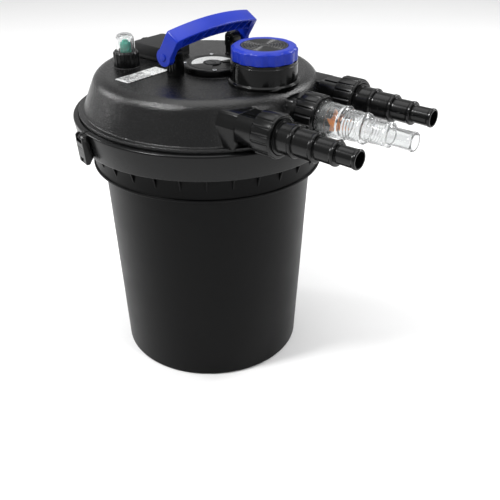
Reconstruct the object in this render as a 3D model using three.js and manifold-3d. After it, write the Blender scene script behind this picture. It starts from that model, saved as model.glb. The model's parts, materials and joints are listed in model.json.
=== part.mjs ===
// Pressurised pond filter: a tapered bucket, a clamped lid with three hose ports, a selector
// knob, a fold-over handle, a UVC lamp unit and a stack of foams inside.
// Millimetres. Origin at the middle of the floor, +Z up, +X out along the hose ports.
import * as THREE from 'three';
import { mergeVertices } from 'three/addons/utils/BufferGeometryUtils.js';
import Module from 'manifold-3d';

const wasm = await Module();
wasm.setup();

// ---------------------------------------------------------------- clearances
const seatGap = 0.4;       // between pieces that rest on each other
const pinGap = 0.3;        // round a pin or shaft in its hole
const slipGap = 0.5;       // round a wide plain fit, such as a nut on its spigot
const plugGap = 1.2;       // between the lid's plug and the bucket
const foamGap = 1.5;       // round every foam
const over = 1;            // how far a cutter runs past the face it opens

// ---------------------------------------------------------------- bucket
const rimZ = 366;          // top of the bucket's rim
const collarR = 167;       // outer radius of the bucket's collar: the other round sizes follow it
const shoulderStep = 13;   // collar to the wall below it
const wallTaper = 15;      // what the wall's radius loses from the collar to the floor
const bucketWall = 4;
const floorThick = 4;
const footHeight = 2.4;    // recess under the floor
const footWidth = 24;
const floorBossR = 22;     // boss in the middle of the floor, level with the foot
const collarHeight = 52;   // from the collar's lower lip to the rim
const lipReach = 2.4;      // lower lip, past the collar
const lipThick = 3.6;
const rimReach = 14;       // rim flange, past the collar
const rimFlangeThick = 10;
const gussetCount = 30;
const gussetThick = 2.2;

// ---------------------------------------------------------------- clamp ring
const ringHeight = 37.6;
const ringFlare = 6;       // what the ring's radius gains from its bottom to its top
const ringWall = 3.4;
const ringLip = 3.6;       // thickness of the two lips that grip the flanges
const lowerBite = 3;       // lower lip, under the bucket's rim
const upperBite = 2.6;     // upper lip, over the lid's flange
const ringSlit = 2.4;

// ---------------------------------------------------------------- latch
const latchAngle = -106;   // degrees round the ring, from +X
const lugThick = 7;
const cheekThick = 3;
const leverPlate = 2.8;
const leverDrop = 37;      // pivot down to the free end
const latchPinR = 2;
const leverHeadR = 4.6;

// ---------------------------------------------------------------- hose ports
const hoseR = 22.6;        // largest radius of the clear hose tail: the port's sizes follow it
const spigotWall = 4.1;
const nutWall = 4;
const nutLength = 28.5;
const nutTeeth = 18;
const nutSpacing = 30.8;   // between two nuts
const nutOverRing = 0.8;   // under the nuts, above the clamp ring
const tailWall = 2.6;
const tailBarb = 0.7;      // how much a step of a hose tail widens towards its end
const tailRelief = 3;      // bore's step, ahead of the outer one
const tailFlange = 4;
const tailStandOff = 1.2;  // plain neck between the nut and the first step
const blackSteps = [[24, 0.925], [29, 0.836], [28, 0.704], [28, 0.558]];  // length, share of hoseR
const clearSteps = [[34, 1], [30, 0.894], [34, 0.726], [33, 0.558]];

// ---------------------------------------------------------------- lid
const lidWall = 4.2;
const domeDraft = 22.5;    // degrees off vertical
const shoulderFillet = 22;
const lidRimRise = 5.4;    // upstand just inside the clamp ring, above it
const lidRimWidth = 6.8;
const plugDepth = 22;
const plugWall = 4;
const sealR = 2.5;         // section radius of the lid seal

// ---------------------------------------------------------------- on the lid, as shares of its top
const valveShare = 0.2933; // selector's collar radius
const uvcShare = 0.2778;   // lamp cover's radius
const collarRise = 30.6;   // selector's collar, above the lid
const knobHeight = 17.5;
const knobScallops = 12;
const uvcHeight = 8;
const uvcSeatReach = 8;    // seat under the lamp cover, past the cover
const screwR = 1.4;
const sleeveBottomZ = 62;

// ---------------------------------------------------------------- handle
const pivotRise = 29.6;    // handle's pivot, above the lid
const handleLean = 31.4;   // degrees from upright, towards the ports
const handleRise = 37;     // pivot to the bar's outer corners
const handleArch = 12;     // extra rise at mid span
const handleThick = 18;
const barDepth = 14;
const legThick = 9.5;
const legGap = 4.5;        // between a leg and its post
const handleSkin = 2.8;
const trussBays = 9;
const postThick = 16;
const postDepth = 18;
const handlePinR = 3;

// ---------------------------------------------------------------- gauge, ballast
const domeR = 12.6;
const domeRise = 46.6;     // top of the gauge's dome, above the lid
const ballastHeight = 22;

// ---------------------------------------------------------------- filter stack
const foamCount = 4;
const foamSideGap = 8;     // between the foams and the bucket's wall at the floor
const stackBottomZ = 34;
const stackHeadroom = 82.5; // top grid up to the bucket's rim
const gridThick = 5;
const gridWindows = 6;
const rodR = 4;

// ---------------------------------------------------------------- sizes that follow
const lipZ = rimZ - collarHeight;
const shoulderR = collarR - shoulderStep;
const baseR = shoulderR - wallTaper;
const rimR = collarR + rimReach;
const rimUnderZ = rimZ - rimFlangeThick;
const gussetTopReach = rimReach - lowerBite - 2;
const ringBottomR = rimR + ringWall + 1.6;
const ringTopR = ringBottomR + ringFlare;
const lowerLipR = rimR - lowerBite;
const ringBottomZ = rimUnderZ - seatGap - ringLip;
const ringTopZ = ringBottomZ + ringHeight;
const lidFlangeR = ringTopR - ringWall - 1.4;
const upperLipR = lidFlangeR - upperBite;
const lidUnderZ = rimZ + seatGap;
const lidFlangeTopZ = ringTopZ - ringLip - seatGap;
const lidRimR = upperLipR - 1.3;
const lidRimZ = ringTopZ + lidRimRise;
const collarInnerR = collarR - 3.6;
const plugR = collarInnerR - plugGap;
const plugBottomZ = lidUnderZ - plugDepth;
const lipBoreR = hoseR + 0.4;                  // mouth of a union nut
const spigotR = lipBoreR + 1.6;
const boreR = hoseR - spigotWall;
const nutR = spigotR + nutWall;
const portPitch = 2 * nutR + nutSpacing;
const portZ = ringTopZ + nutOverRing + nutR;
const ductTop = 0.7 * nutR;                    // flat top of a duct, above the port's axis
const lidTopZ = portZ + nutR - 0.2;
const seatZ = lidTopZ + seatGap;
const domeBaseR = lidRimR - lidRimWidth;
const domeCornerR = domeBaseR - Math.tan(domeDraft * Math.PI / 180) * (lidTopZ - lidRimZ);
const nutStartX = domeBaseR + 1.1;
const valveCollarR = valveShare * domeCornerR;
const valveFootR = valveCollarR + 2.8;
const valveHoleR = valveCollarR - 6.4;
const valveX = domeCornerR - valveFootR;
const collarTopZ = lidTopZ + collarRise;
const uvcR = uvcShare * domeCornerR;
const uvcSeatR = uvcR + uvcSeatReach;
const uvcHoleR = uvcR - 12;
const uvcX = valveX - valveFootR - uvcR - 0.8;
const sleeveR = uvcHoleR - 12;
const strainerR = sleeveR + 11;
const pivotZ = lidTopZ + pivotRise;
const postInner = uvcSeatR + 1;                // from mid plane to the post's inner face
const handleHalf = postInner + postThick + legGap + legThick;
const gaugeX = -0.543 * domeCornerR;
const gaugeY = -0.472 * domeCornerR;
const gaugeNutR = domeR + 5.4;
const ballastX0 = -0.749 * domeCornerR;
const ballastX1 = -0.375 * domeCornerR;
const ballastHalf = 0.194 * domeCornerR;
const domeTopZ = lidTopZ + domeRise;
const foamR = baseR - bucketWall - foamSideGap;
const foamHeight = (rimZ - stackHeadroom - stackBottomZ - 2 * gridThick - foamGap) / foamCount - foamGap;
const rodY = 0.693 * foamR;
const deg = Math.PI / 180;
const facetDensity = 0.72;

// ---------------------------------------------------------------- geometry helpers
// Turns a three.js geometry into a manifold solid with its faces outward.
function toManifold(geometry) {
  const plain = geometry.index ? geometry.toNonIndexed() : geometry.clone();
  for (const name of Object.keys(plain.attributes)) {
    if (name !== 'position') plain.deleteAttribute(name);
  }
  const merged = mergeVertices(plain, 1e-4);
  const at = merged.attributes.position.array;
  const triangles = [];
  let volume = 0;
  for (let i = 0; i < merged.index.count; i += 3) {
    const [a, b, c] = [0, 1, 2].map((k) => merged.index.array[i + k]);
    if (a === b || b === c || a === c) continue;
    triangles.push([a, b, c]);
    const [p, q, r] = [a, b, c].map((k) => new THREE.Vector3().fromArray(at, 3 * k));
    volume += p.dot(q.cross(r));
  }
  const order = volume < 0 ? ([a, b, c]) => [a, c, b] : (t) => t;
  return new wasm.Manifold(new wasm.Mesh({
    numProp: 3,
    vertProperties: Float32Array.from(at),
    triVerts: Uint32Array.from(triangles.flatMap(order)),
  }));
}

function fromManifold(manifold) {
  const mesh = manifold.getMesh();
  const geometry = new THREE.BufferGeometry();
  const at = new Float32Array(mesh.numVert * 3);
  for (let i = 0; i < mesh.numVert; i += 1) {
    for (let k = 0; k < 3; k += 1) at[3 * i + k] = mesh.vertProperties[mesh.numProp * i + k];
  }
  geometry.setAttribute('position', new THREE.BufferAttribute(at, 3));
  geometry.setIndex(new THREE.BufferAttribute(Uint32Array.from(mesh.triVerts), 1));
  return geometry;
}

const combine = (method) => (first, ...rest) => fromManifold(
  rest.flat().reduce((sum, next) => sum[method](toManifold(next)), toManifold(first)),
);
const join = combine('add');
const cut = combine('subtract');
const common = combine('intersect');

// Rounds the corners of a polygon or polyline. A corner is [x, y] or [x, y, radius].
function rounded(corners, { steps = 3, open = false } = {}) {
  const out = [];
  const count = corners.length;
  corners.forEach(([x, y, radius = 0], i) => {
    const here = new THREE.Vector2(x, y);
    if (!radius || (open && (i === 0 || i === count - 1))) {
      out.push(here);
      return;
    }
    const back = new THREE.Vector2(...corners[(i + count - 1) % count].slice(0, 2)).sub(here);
    const on = new THREE.Vector2(...corners[(i + 1) % count].slice(0, 2)).sub(here);
    back.normalize();
    on.normalize();
    const half = Math.acos(THREE.MathUtils.clamp(back.dot(on), -1, 1)) / 2;
    const middle = here.clone().addScaledVector(
      back.clone().add(on).normalize(), radius / Math.sin(half),
    );
    const start = here.clone().addScaledVector(back, radius / Math.tan(half)).sub(middle);
    const end = here.clone().addScaledVector(on, radius / Math.tan(half)).sub(middle);
    const turn = Math.atan2(start.cross(end), start.dot(end));
    for (let k = 0; k <= steps; k += 1) {
      const step = start.clone().rotateAround(new THREE.Vector2(), turn * k / steps);
      out.push(middle.clone().add(step));
    }
  });
  return out;
}

// Sides of a round piece: more on a larger one.
const facets = (radius) => 4 * Math.round(Math.max(2, facetDensity * Math.sqrt(radius)));

// Revolves a profile of [radius, z] corners about Z. A ring's profile closes on itself.
function turned(corners, { ring = false, steps = 2, sides = 0 } = {}) {
  const points = rounded(corners, { steps, open: !ring });
  if (ring) points.push(points[0].clone());
  const widest = Math.max(...points.map((p) => p.x));
  return new THREE.LatheGeometry(points, sides || facets(widest)).rotateX(90 * deg);
}

// Extrudes an outline of [x, y] corners up Z from z = 0.
function prism(corners, height, { holes = [], steps = 2 } = {}) {
  const shape = new THREE.Shape(rounded(corners, { steps }));
  for (const hole of holes) shape.holes.push(new THREE.Path(rounded(hole, { steps })));
  return new THREE.ExtrudeGeometry(shape, { depth: height, bevelEnabled: false });
}

function rod(radius, length, sides = facets(radius)) {
  return new THREE.CylinderGeometry(radius, radius, length, sides)
    .rotateX(90 * deg).translate(0, 0, length / 2);
}

// A round cutter whose flats, not its corners, stand at the radius.
function bore(radius, length, sides = facets(radius)) {
  return rod(radius / Math.cos(Math.PI / sides), length, sides);
}

function block(x0, x1, y0, y1, z0, z1) {
  return new THREE.BoxGeometry(x1 - x0, y1 - y0, z1 - z0)
    .translate((x0 + x1) / 2, (y0 + y1) / 2, (z0 + z1) / 2);
}

// Sets a piece built along +Z so that it points along +X.
const alongX = (geometry) => geometry.rotateY(90 * deg);
// Sets a piece drawn in x and y so that its y stands up Z and its thickness runs along -Y.
const upright = (geometry) => geometry.rotateX(90 * deg);

function around(count, make) {
  return Array.from({ length: count }, (_, i) => make(i).rotateZ(360 * deg * i / count));
}

// A fluted outline: `teeth` ribs round a circle.
function fluted(radius, depth, teeth) {
  const corners = [];
  for (let i = 0; i < teeth; i += 1) {
    [[0, 0], [0.55, 0], [0.78, depth]].forEach(([t, inward]) => {
      const angle = 2 * Math.PI * (i + t) / teeth;
      corners.push([(radius - inward) * Math.cos(angle), (radius - inward) * Math.sin(angle)]);
    });
  }
  return corners;
}

// ---------------------------------------------------------------- materials and scene list
const looks = {
  shell: { color: 0x17181a, roughness: 0.5, metalness: 0 },
  gloss: { color: 0x0b0b0c, roughness: 0.22, metalness: 0 },
  blue: { color: 0x1420b4, roughness: 0.38, metalness: 0 },
  slate: { color: 0x3a3d42, roughness: 0.55, metalness: 0 },
  clear: { color: 0xdfe6e8, roughness: 0.08, metalness: 0 },
  quartz: { color: 0xe6f0f4, roughness: 0.04, metalness: 0 },
  rubber: { color: 0x1c1c1c, roughness: 0.8, metalness: 0 },
  foam: { color: 0x1f4f9e, roughness: 0.95, metalness: 0 },
  steel: { color: 0xb9bcc0, roughness: 0.3, metalness: 1 },
  green: { color: 0x129c7c, roughness: 0.4, metalness: 0 },
  orange: { color: 0xe2661a, roughness: 0.4, metalness: 0 },
  label: { color: 0xd8dadb, roughness: 0.5, metalness: 0 },
  grey: { color: 0x9a9fa3, roughness: 0.5, metalness: 0 },
};
const model = new THREE.Group();
model.name = 'pressurized_pond_filter';

function add(name, geometry, look) {
  const closed = geometry.attributes.normal ? fromManifold(toManifold(geometry)) : geometry;
  const mesh = new THREE.Mesh(closed, new THREE.MeshStandardMaterial(looks[look]));
  mesh.material.name = look;
  mesh.name = name;
  model.add(mesh);
}

// ---------------------------------------------------------------- bucket
const bucketInnerTopR = shoulderR - bucketWall;
const bucketInnerBaseR = baseR - bucketWall;
const stepZ = lipZ + lipThick + seatGap;

function bucket() {
  const shell = turned([
    [0, 0], [floorBossR, 0], [floorBossR, footHeight], [baseR - footWidth, footHeight],
    [baseR - footWidth, 0], [baseR, 0, 4],
    [shoulderR, lipZ], [collarR + lipReach, lipZ], [collarR + lipReach, lipZ + lipThick],
    [collarR, lipZ + lipThick], [collarR, rimUnderZ], [rimR, rimUnderZ],
    [rimR, rimZ], [collarInnerR, rimZ], [collarInnerR, stepZ], [bucketInnerTopR, stepZ],
    [bucketInnerBaseR, footHeight + floorThick], [0, footHeight + floorThick],
  ]);
  const gusset = () => upright(prism([
    [collarR - 1.5, lipZ + 1], [collarR + lipReach - 0.4, lipZ + lipThick - 1],
    [collarR + gussetTopReach, rimUnderZ + 1], [collarR - 1.5, rimUnderZ + 1],
  ], gussetThick)).translate(0, gussetThick / 2, 0);
  return join(shell, around(gussetCount, gusset));
}

// ---------------------------------------------------------------- clamp ring and latch
const pivotR = ringTopR + leverHeadR - 0.4;
const latchPivotZ = ringTopZ - 6.2;
const lugReach = 4;
const lugPairHalf = ringSlit / 2 + lugThick;
const leverHalf = lugPairHalf + seatGap + cheekThick;
const ringSlope = (ringTopR - ringBottomR) / ringHeight;
const toLatch = (geometry) => geometry.rotateZ(latchAngle * deg);

function clampRing() {
  const band = turned([
    [upperLipR, ringTopZ], [ringTopR, ringTopZ, 2.6], [ringBottomR, ringBottomZ, 1.4],
    [lowerLipR, ringBottomZ], [lowerLipR, ringBottomZ + ringLip],
    [ringBottomR - ringWall, ringBottomZ + ringLip],
    [ringTopR - ringWall, ringTopZ - ringLip], [upperLipR, ringTopZ - ringLip],
  ], { ring: true });
  const lugOutline = rounded([
    [pivotR - 7, latchPivotZ + 4], [pivotR, latchPivotZ + 4, 3], [pivotR + lugReach, latchPivotZ, 3],
    [pivotR + 1, latchPivotZ - 7, 1], [pivotR - 3.4, latchPivotZ - 29, 2], [pivotR - 12, latchPivotZ - 29],
  ], { steps: 2 }).map((p) => [p.x, p.y]);
  const lugs = upright(prism(lugOutline, 2 * lugPairHalf)).translate(0, lugPairHalf, 0);
  const slit = block(lowerLipR - over, pivotR + lugReach + over, -ringSlit / 2, ringSlit / 2,
    ringBottomZ - over, ringTopZ + over);
  const pinHole = bore(latchPinR + pinGap, 2 * lugPairHalf + 2 * over).rotateX(90 * deg)
    .translate(pivotR, lugPairHalf + over, latchPivotZ);
  return cut(join(band, toLatch(lugs)), toLatch(slit), toLatch(pinHole));
}

function latchLever() {
  const at = ([x, z, r]) => [pivotR + x, latchPivotZ + z, r];
  const inner = -leverHeadR - ringSlope * (leverDrop - 9);
  const side = upright(prism([
    [-leverHeadR, 1.5, 3], [-1.5, leverHeadR, 3], [1.5, leverHeadR, 3], [leverHeadR, 1.5, 3],
    [leverHeadR - 0.2, -6, 0], [1.6, -leverDrop, 1.4], [-3.4, -leverDrop, 1.4],
    [inner, 9 - leverDrop, 3],
  ].map(at), 2 * leverHalf)).translate(0, leverHalf, 0);
  const channelHalf = lugPairHalf + seatGap;
  const channel = upright(prism([
    [-16, 12], [12, 12], [12, -6], [leverHeadR - leverPlate - 0.4, -6.6],
    [1.6 - leverPlate, 3 - leverDrop], [-16, 3 - leverDrop],
  ].map(at), 2 * channelHalf)).translate(0, channelHalf, 0);
  const pinHole = bore(latchPinR + pinGap, 2 * leverHalf + 2 * over).rotateX(90 * deg)
    .translate(pivotR, leverHalf + over, latchPivotZ);
  return toLatch(cut(side, channel, pinHole));
}

function latchPin() {
  const reach = leverHalf + seatGap;
  const body = turned([
    [0, -reach - 1.6], [3.4, -reach - 1.6, 0.8], [3.4, -reach], [latchPinR, -reach],
    [latchPinR, reach], [3.4, reach], [3.4, reach + 1.6, 0.8], [0, reach + 1.6],
  ], { steps: 1 });
  return toLatch(body.rotateX(90 * deg).translate(pivotR, 0, latchPivotZ));
}

// ---------------------------------------------------------------- lid
const portYs = [-portPitch, 0, portPitch];
const sealZ = plugBottomZ + 8;
const sealPathR = collarInnerR - sealR - 0.3;

// A duct's section, drawn across Y and up Z about the port's axis, one millimetre long.
function duct() {
  const footZ = lidRimZ - 0.8 - portZ;
  const flanks = [[nutR - 1.6, footZ], [nutR - 2.6, 3, 6], [0.6 * nutR, ductTop, 5]];
  const section = [...flanks.map(([y, z, r]) => [-y, z, r]), ...flanks.reverse()];
  return alongX(prism(section.map(([y, z, r]) => [-z, y, r]), 1));
}

const spigotEndX = nutStartX + nutLength - 15;
const ductEndX = nutStartX - 27.6;
const gaugeHoleR = domeR - 3.6;

function lidShell() {
  const grooveHalf = sealR + slipGap;
  const grooveR = sealPathR - sealR - 0.3;
  const plugInnerR = plugR - plugWall - 3;
  const innerR = domeBaseR - lidWall;
  return turned([
    [0, lidTopZ], [domeCornerR, lidTopZ, shoulderFillet], [domeBaseR, lidRimZ],
    [lidRimR, lidRimZ], [lidRimR, lidFlangeTopZ], [lidFlangeR, lidFlangeTopZ],
    [lidFlangeR - 3.6, lidUnderZ], [plugR, lidUnderZ], [plugR, sealZ + grooveHalf],
    [grooveR, sealZ + grooveHalf], [grooveR, sealZ - grooveHalf], [plugR, sealZ - grooveHalf],
    [plugR, plugBottomZ], [plugInnerR, plugBottomZ], [plugInnerR, lidUnderZ + 5],
    [innerR, lidUnderZ + 8], [innerR, lidRimZ],
    [domeCornerR - lidWall + 1, lidTopZ - lidWall, shoulderFillet - lidWall], [0, lidTopZ - lidWall],
  ], { steps: 3 });
}

// Where a duct, centred at y, grows out of the dome.
const ductStartX = (y) => Math.sqrt(domeCornerR ** 2 - y ** 2) - (y ? 24 : 6);

// One port: its flat-topped duct, its round neck and thread, and a plain pad on the flat.
function portOutside(y) {
  const startX = ductStartX(y);
  const endX = y ? ductEndX : nutStartX - 8;
  const neckX = startX + 4;
  const neck = cut(
    alongX(rod(spigotR, nutStartX - 3 - neckX)).translate(neckX, y, portZ),
    block(neckX - over, nutStartX, y - spigotR, y + spigotR, portZ + ductTop, portZ + spigotR + over),
  );
  const thread = alongX(rod(spigotR - 1, spigotEndX - nutStartX + 4))
    .translate(nutStartX - 4, y, portZ);
  const pad = block(nutStartX - 26, nutStartX - 6, y - 9, y + 9,
    portZ + ductTop - 2, portZ + ductTop + 0.8);
  return [duct().scale(endX - startX, 1, 1).translate(startX, y, portZ), neck, thread, pad];
}

function lid() {
  const throughLid = 30;
  const saddles = portYs.map((y) => alongX(bore(nutR + 0.6, nutLength))
    .translate(nutStartX - 0.8, y, portZ));
  const bores = portYs.map((y) => alongX(bore(boreR, nutStartX + nutLength - ductStartX(y)))
    .translate(ductStartX(y) - 6, y, portZ));
  const uvcSeat = cut(
    rod(uvcSeatR, 3).translate(uvcX, 0, lidTopZ - 2.7),
    [-1, 1].map((side) => block(-postDepth, postDepth, -postThick / 2 - over, postThick / 2 + over,
      lidTopZ, lidTopZ + 3).translate(0, side * (postInner + postThick / 2), 0)),
    bore(valveFootR + 0.6, 4).translate(valveX, 0, lidTopZ),
  );
  const gaugeSeat = rod(gaugeNutR + 1, 3).translate(gaugeX, gaugeY, lidTopZ - 1);
  const openings = [
    bore(valveHoleR, throughLid).translate(valveX, 0, lidTopZ - 20),
    bore(uvcHoleR, throughLid).translate(uvcX, 0, lidTopZ - 20),
    bore(gaugeHoleR, throughLid).translate(gaugeX, gaugeY, lidTopZ - 20),
  ];
  return cut(
    join(cut(lidShell(), saddles), portYs.flatMap(portOutside), uvcSeat, gaugeSeat),
    bores, openings,
  );
}

function lidSeal() {
  const corners = Array.from({ length: 6 }, (_, i) => [
    sealPathR + sealR * Math.cos(i * 60 * deg), sealZ + sealR * Math.sin(i * 60 * deg)]);
  return turned(corners, { ring: true, sides: facets(rimR) });
}

// ---------------------------------------------------------------- hose ports
const nutLipX = nutStartX + nutLength - 4.5;   // inside face of the nut's front lip
const tailFlangeX = nutLipX - seatGap;

function unionNut(y) {
  const outer = alongX(prism(fluted(nutR, 1.3, nutTeeth), nutLength - 3));
  const front = alongX(turned([
    [0, nutLength - 3 - over], [nutR - 1.2, nutLength - 3 - over], [nutR - 0.6, nutLength - 2],
    [nutR - 1.6, nutLength], [0, nutLength],
  ]));
  const socket = alongX(bore(spigotR + slipGap, nutLipX - nutStartX + over)).translate(-over, 0, 0);
  const lip = alongX(bore(lipBoreR, nutLength + 2 * over)).translate(-over, 0, 0);
  return cut(join(outer, front), socket, lip).translate(nutStartX, y, portZ);
}

// A stepped hose tail: its bore steps down a little ahead of the outside.
function hoseTail(y, steps) {
  const radii = steps.map(([, share]) => share * hoseR);
  const startX = nutStartX + nutLength + tailStandOff;
  const ends = steps.reduce((xs, [length]) => [...xs, xs[xs.length - 1] + length], [startX]);
  const neckR = lipBoreR - slipGap;
  const outside = radii.flatMap((radius, i) => [
    [radius - tailBarb, ends[i]], [radius, ends[i + 1] - 2], [radius - tailBarb, ends[i + 1]],
  ]);
  const inside = radii.slice(1).flatMap((radius, i) => {
    const stepX = ends[i + 1] - tailRelief;
    return [[radii[i] - tailWall, stepX - radii[i] + radius], [radius - tailWall, stepX]];
  });
  return alongX(turned([
    [radii[0] - tailWall, tailFlangeX - tailFlange], [spigotR - 0.6, tailFlangeX - tailFlange],
    [spigotR - 0.6, tailFlangeX], [neckR, tailFlangeX], [neckR, startX],
    ...outside, [radii[steps.length - 1] - tailWall, ends[steps.length]], ...inside.reverse(),
  ], { ring: true })).translate(0, y, portZ);
}

function gasket(y) {
  return alongX(turned([
    [boreR + slipGap, spigotEndX + seatGap], [spigotR - 1.6, spigotEndX + seatGap],
    [spigotR - 1.6, tailFlangeX - tailFlange - seatGap],
    [boreR + slipGap, tailFlangeX - tailFlange - seatGap],
  ], { ring: true })).translate(0, y, portZ);
}

// ---------------------------------------------------------------- flow indicator
const spiderX = nutStartX + nutLength + 6;
const axleR = 1.2;
const flowHubR = 3.4;

function flowSpider() {
  const depth = 6;
  const outerR = hoseR - tailWall - 0.8;
  const axleLength = 22;
  const stopThick = 1.4;
  const rim = turned([[outerR - 1.8, 0], [outerR, 0], [outerR, depth], [outerR - 1.8, depth]],
    { ring: true });
  const arms = around(3, () => block(2, outerR - over, -0.9, 0.9, 0.5, depth - 0.5));
  const stop = rod(2 * axleR, stopThick).translate(0, 0, axleLength - over);
  return alongX(join(rim, rod(flowHubR, depth), arms, rod(axleR, axleLength), stop))
    .translate(spiderX, 0, portZ);
}

function flowRotor() {
  const length = 11;
  const bladeR = 0.62 * hoseR;
  const blades = around(4, () => block(2.4, bladeR + over, -0.8, 0.8, 0, length - 1)
    .rotateX(24 * deg).translate(0, 2, 0.6));
  const clip = common(join(rod(flowHubR, length), blades), rod(bladeR, length));
  return alongX(cut(clip, bore(axleR + pinGap, length + 2 * over).translate(0, 0, -over)))
    .translate(spiderX + 7.5, 0, portZ);
}

// ---------------------------------------------------------------- selector valve
const knobZ = collarTopZ + seatGap;
const knobR = valveCollarR - 0.8;
const recessDepth = 2.6;
const insetR = 0.704 * knobR;
const shaftR = 7;
const housingR = valveHoleR - slipGap;
const housingWall = 2.6;
const sideBoreR = housingR / 3;
const valveFloorZ = portZ - boreR - 7;

function valveCollar() {
  const top = 4;
  return turned([
    [valveHoleR - 3, seatZ], [valveFootR, seatZ], [valveFootR, seatZ + 3],
    [valveCollarR, seatZ + 4.5], [valveCollarR - 0.6, collarTopZ, 1.6],
    [shaftR + pinGap, collarTopZ], [shaftR + pinGap, collarTopZ - top],
    [valveHoleR - 3, collarTopZ - top],
  ], { ring: true }).translate(valveX, 0, 0);
}

function valveHousing() {
  const innerR = housingR - housingWall;
  const tub = turned([
    [0, valveFloorZ - 3], [housingR, valveFloorZ - 3], [housingR, lidTopZ], [innerR, lidTopZ],
    [innerR, valveFloorZ], [0, valveFloorZ],
  ]);
  const toPort = alongX(bore(boreR - 2, housingR + over)).translate(0, 0, portZ);
  const intake = bore(sideBoreR, 10).translate(0, 0, valveFloorZ - 6);
  const sides = [-1, 1].map((side) => bore(sideBoreR, housingR + over).rotateX(side * 90 * deg)
    .translate(0, 0, portZ));
  return cut(tub, toPort, intake, sides).translate(valveX, 0, 0);
}

function valveRotor() {
  const drumR = housingR - housingWall - 1.3;
  const drumTopZ = lidTopZ - 3;
  const body = turned([
    [0, valveFloorZ + over], [drumR, valveFloorZ + over], [drumR, drumTopZ], [shaftR, drumTopZ],
    [shaftR, knobZ + 8], [0, knobZ + 8],
  ]);
  const through = alongX(bore(boreR - 3, drumR + 10)).translate(-8, 0, portZ);
  const down = bore(sideBoreR - 2, 40).translate(0, 0, portZ - 40);
  return cut(body, through, down).translate(valveX, 0, 0);
}

function selectorKnob() {
  const scallopDepth = 1.9;
  const stations = 4 * knobScallops;
  const outline = Array.from({ length: stations }, (_, i) => {
    const radius = knobR - scallopDepth * Math.max(0, Math.cos(i * 90 * deg));
    const angle = 360 * deg * i / stations;
    return [radius * Math.cos(angle), radius * Math.sin(angle)];
  });
  const trim = turned([
    [0, 0], [knobR + over, 0], [knobR + over, knobHeight - 3.4], [knobR - 3.6, knobHeight],
    [0, knobHeight],
  ]);
  const under = turned([[0, -over], [knobR - 4, -over], [knobR - 4, 6], [shaftR + 4, 6],
    [shaftR + 4, -0.8], [0, -0.8]]);
  const recess = bore(insetR + 0.6, recessDepth + over).translate(0, 0, knobHeight - recessDepth);
  const shaftHole = bore(shaftR + seatGap, 9).translate(0, 0, -0.5);
  return cut(common(prism(outline, knobHeight), trim), under, recess, shaftHole)
    .translate(valveX, 0, knobZ);
}

function selectorInset() {
  const bottomZ = knobZ + knobHeight - recessDepth + seatGap;
  const topZ = bottomZ + 2.2;
  const grooveZ = topZ - 0.6;
  return turned([
    [0, bottomZ], [insetR, bottomZ], [insetR, topZ], [0.76 * insetR, topZ], [0.74 * insetR, grooveZ],
    [0.54 * insetR, grooveZ], [0.52 * insetR, topZ], [0, topZ],
  ]).translate(valveX, 0, 0);
}

// ---------------------------------------------------------------- UVC unit
const uvcTopZ = seatZ + uvcHeight;
const arcOuterR = 0.721 * uvcR;
const arcInnerR = 0.279 * uvcR;
const arcStep = 1.2;               // each step down from the cover's rim to its middle
const bodyFlangeR = uvcR - 7;
const bodyFlangeTopZ = seatZ + 3;
const bodyBottomZ = lidTopZ - 42;
const sleeveTopZ = lidTopZ - 8;
const sleeveWall = 1.8;
const screwCircleR = uvcR - 3.3;
const screwTurn = 45;              // degrees from +X to the first screw

function uvcCover() {
  const holes = around(4, () => bore(screwR + pinGap, uvcHeight + over)
    .translate(screwCircleR, 0, seatZ - over + 0.2).rotateZ(screwTurn * deg));
  const disc = turned([
    [0, bodyFlangeTopZ + seatGap], [bodyFlangeR + 0.8, bodyFlangeTopZ + seatGap],
    [bodyFlangeR + 0.8, seatZ], [uvcR, seatZ], [uvcR, uvcTopZ - 1.4], [uvcR - 1.6, uvcTopZ],
    [arcOuterR, uvcTopZ], [arcOuterR, uvcTopZ - arcStep], [arcInnerR, uvcTopZ - arcStep],
    [arcInnerR, uvcTopZ - 2 * arcStep], [0, uvcTopZ - 2 * arcStep],
  ]);
  return cut(disc, holes).translate(uvcX, 0, 0);
}

function uvcScrew(i) {
  const headZ = uvcTopZ + 0.3;
  return turned([
    [0, seatZ + 1], [screwR, seatZ + 1], [screwR, headZ], [3, headZ], [2.6, headZ + 1.4],
    [0, headZ + 1.4],
  ]).translate(screwCircleR, 0, 0).rotateZ((screwTurn + 90 * i) * deg).translate(uvcX, 0, 0);
}

// A thin arc of film, open towards the selector.
function arcPlate() {
  const halfSweep = 130;
  const stations = 20;
  const arc = (radius) => Array.from({ length: stations + 1 }, (_, i) => {
    const angle = (180 + halfSweep * (2 * i / stations - 1)) * deg;
    return [radius * Math.cos(angle), radius * Math.sin(angle)];
  });
  return prism([...arc(arcOuterR - 0.6), ...arc(arcInnerR + 2).reverse()], 0.7)
    .translate(uvcX, 0, uvcTopZ - arcStep + 0.3);
}

function uvcCap() {
  const z = uvcTopZ - 2 * arcStep + 0.3;
  const capR = arcInnerR - 0.6;
  return turned([
    [0, z], [capR, z], [capR, z + 2.6, 0.8], [0.75 * capR, z + 3], [0, z + 2.4],
  ]).translate(uvcX, 0, 0);
}

function uvcBody() {
  const boreHereR = sleeveR + 0.5;
  const bodyR = uvcHoleR - 0.6;
  const socketR = sleeveR + 5;
  return turned([
    [boreHereR, bodyBottomZ], [bodyR - 1.4, bodyBottomZ], [bodyR, bodyBottomZ + 28], [bodyR, seatZ],
    [bodyFlangeR, seatZ], [bodyFlangeR, bodyFlangeTopZ], [socketR, bodyFlangeTopZ],
    [socketR, sleeveTopZ + 1], [boreHereR, sleeveTopZ + 1],
  ], { ring: true }).translate(uvcX, 0, 0);
}

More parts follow.
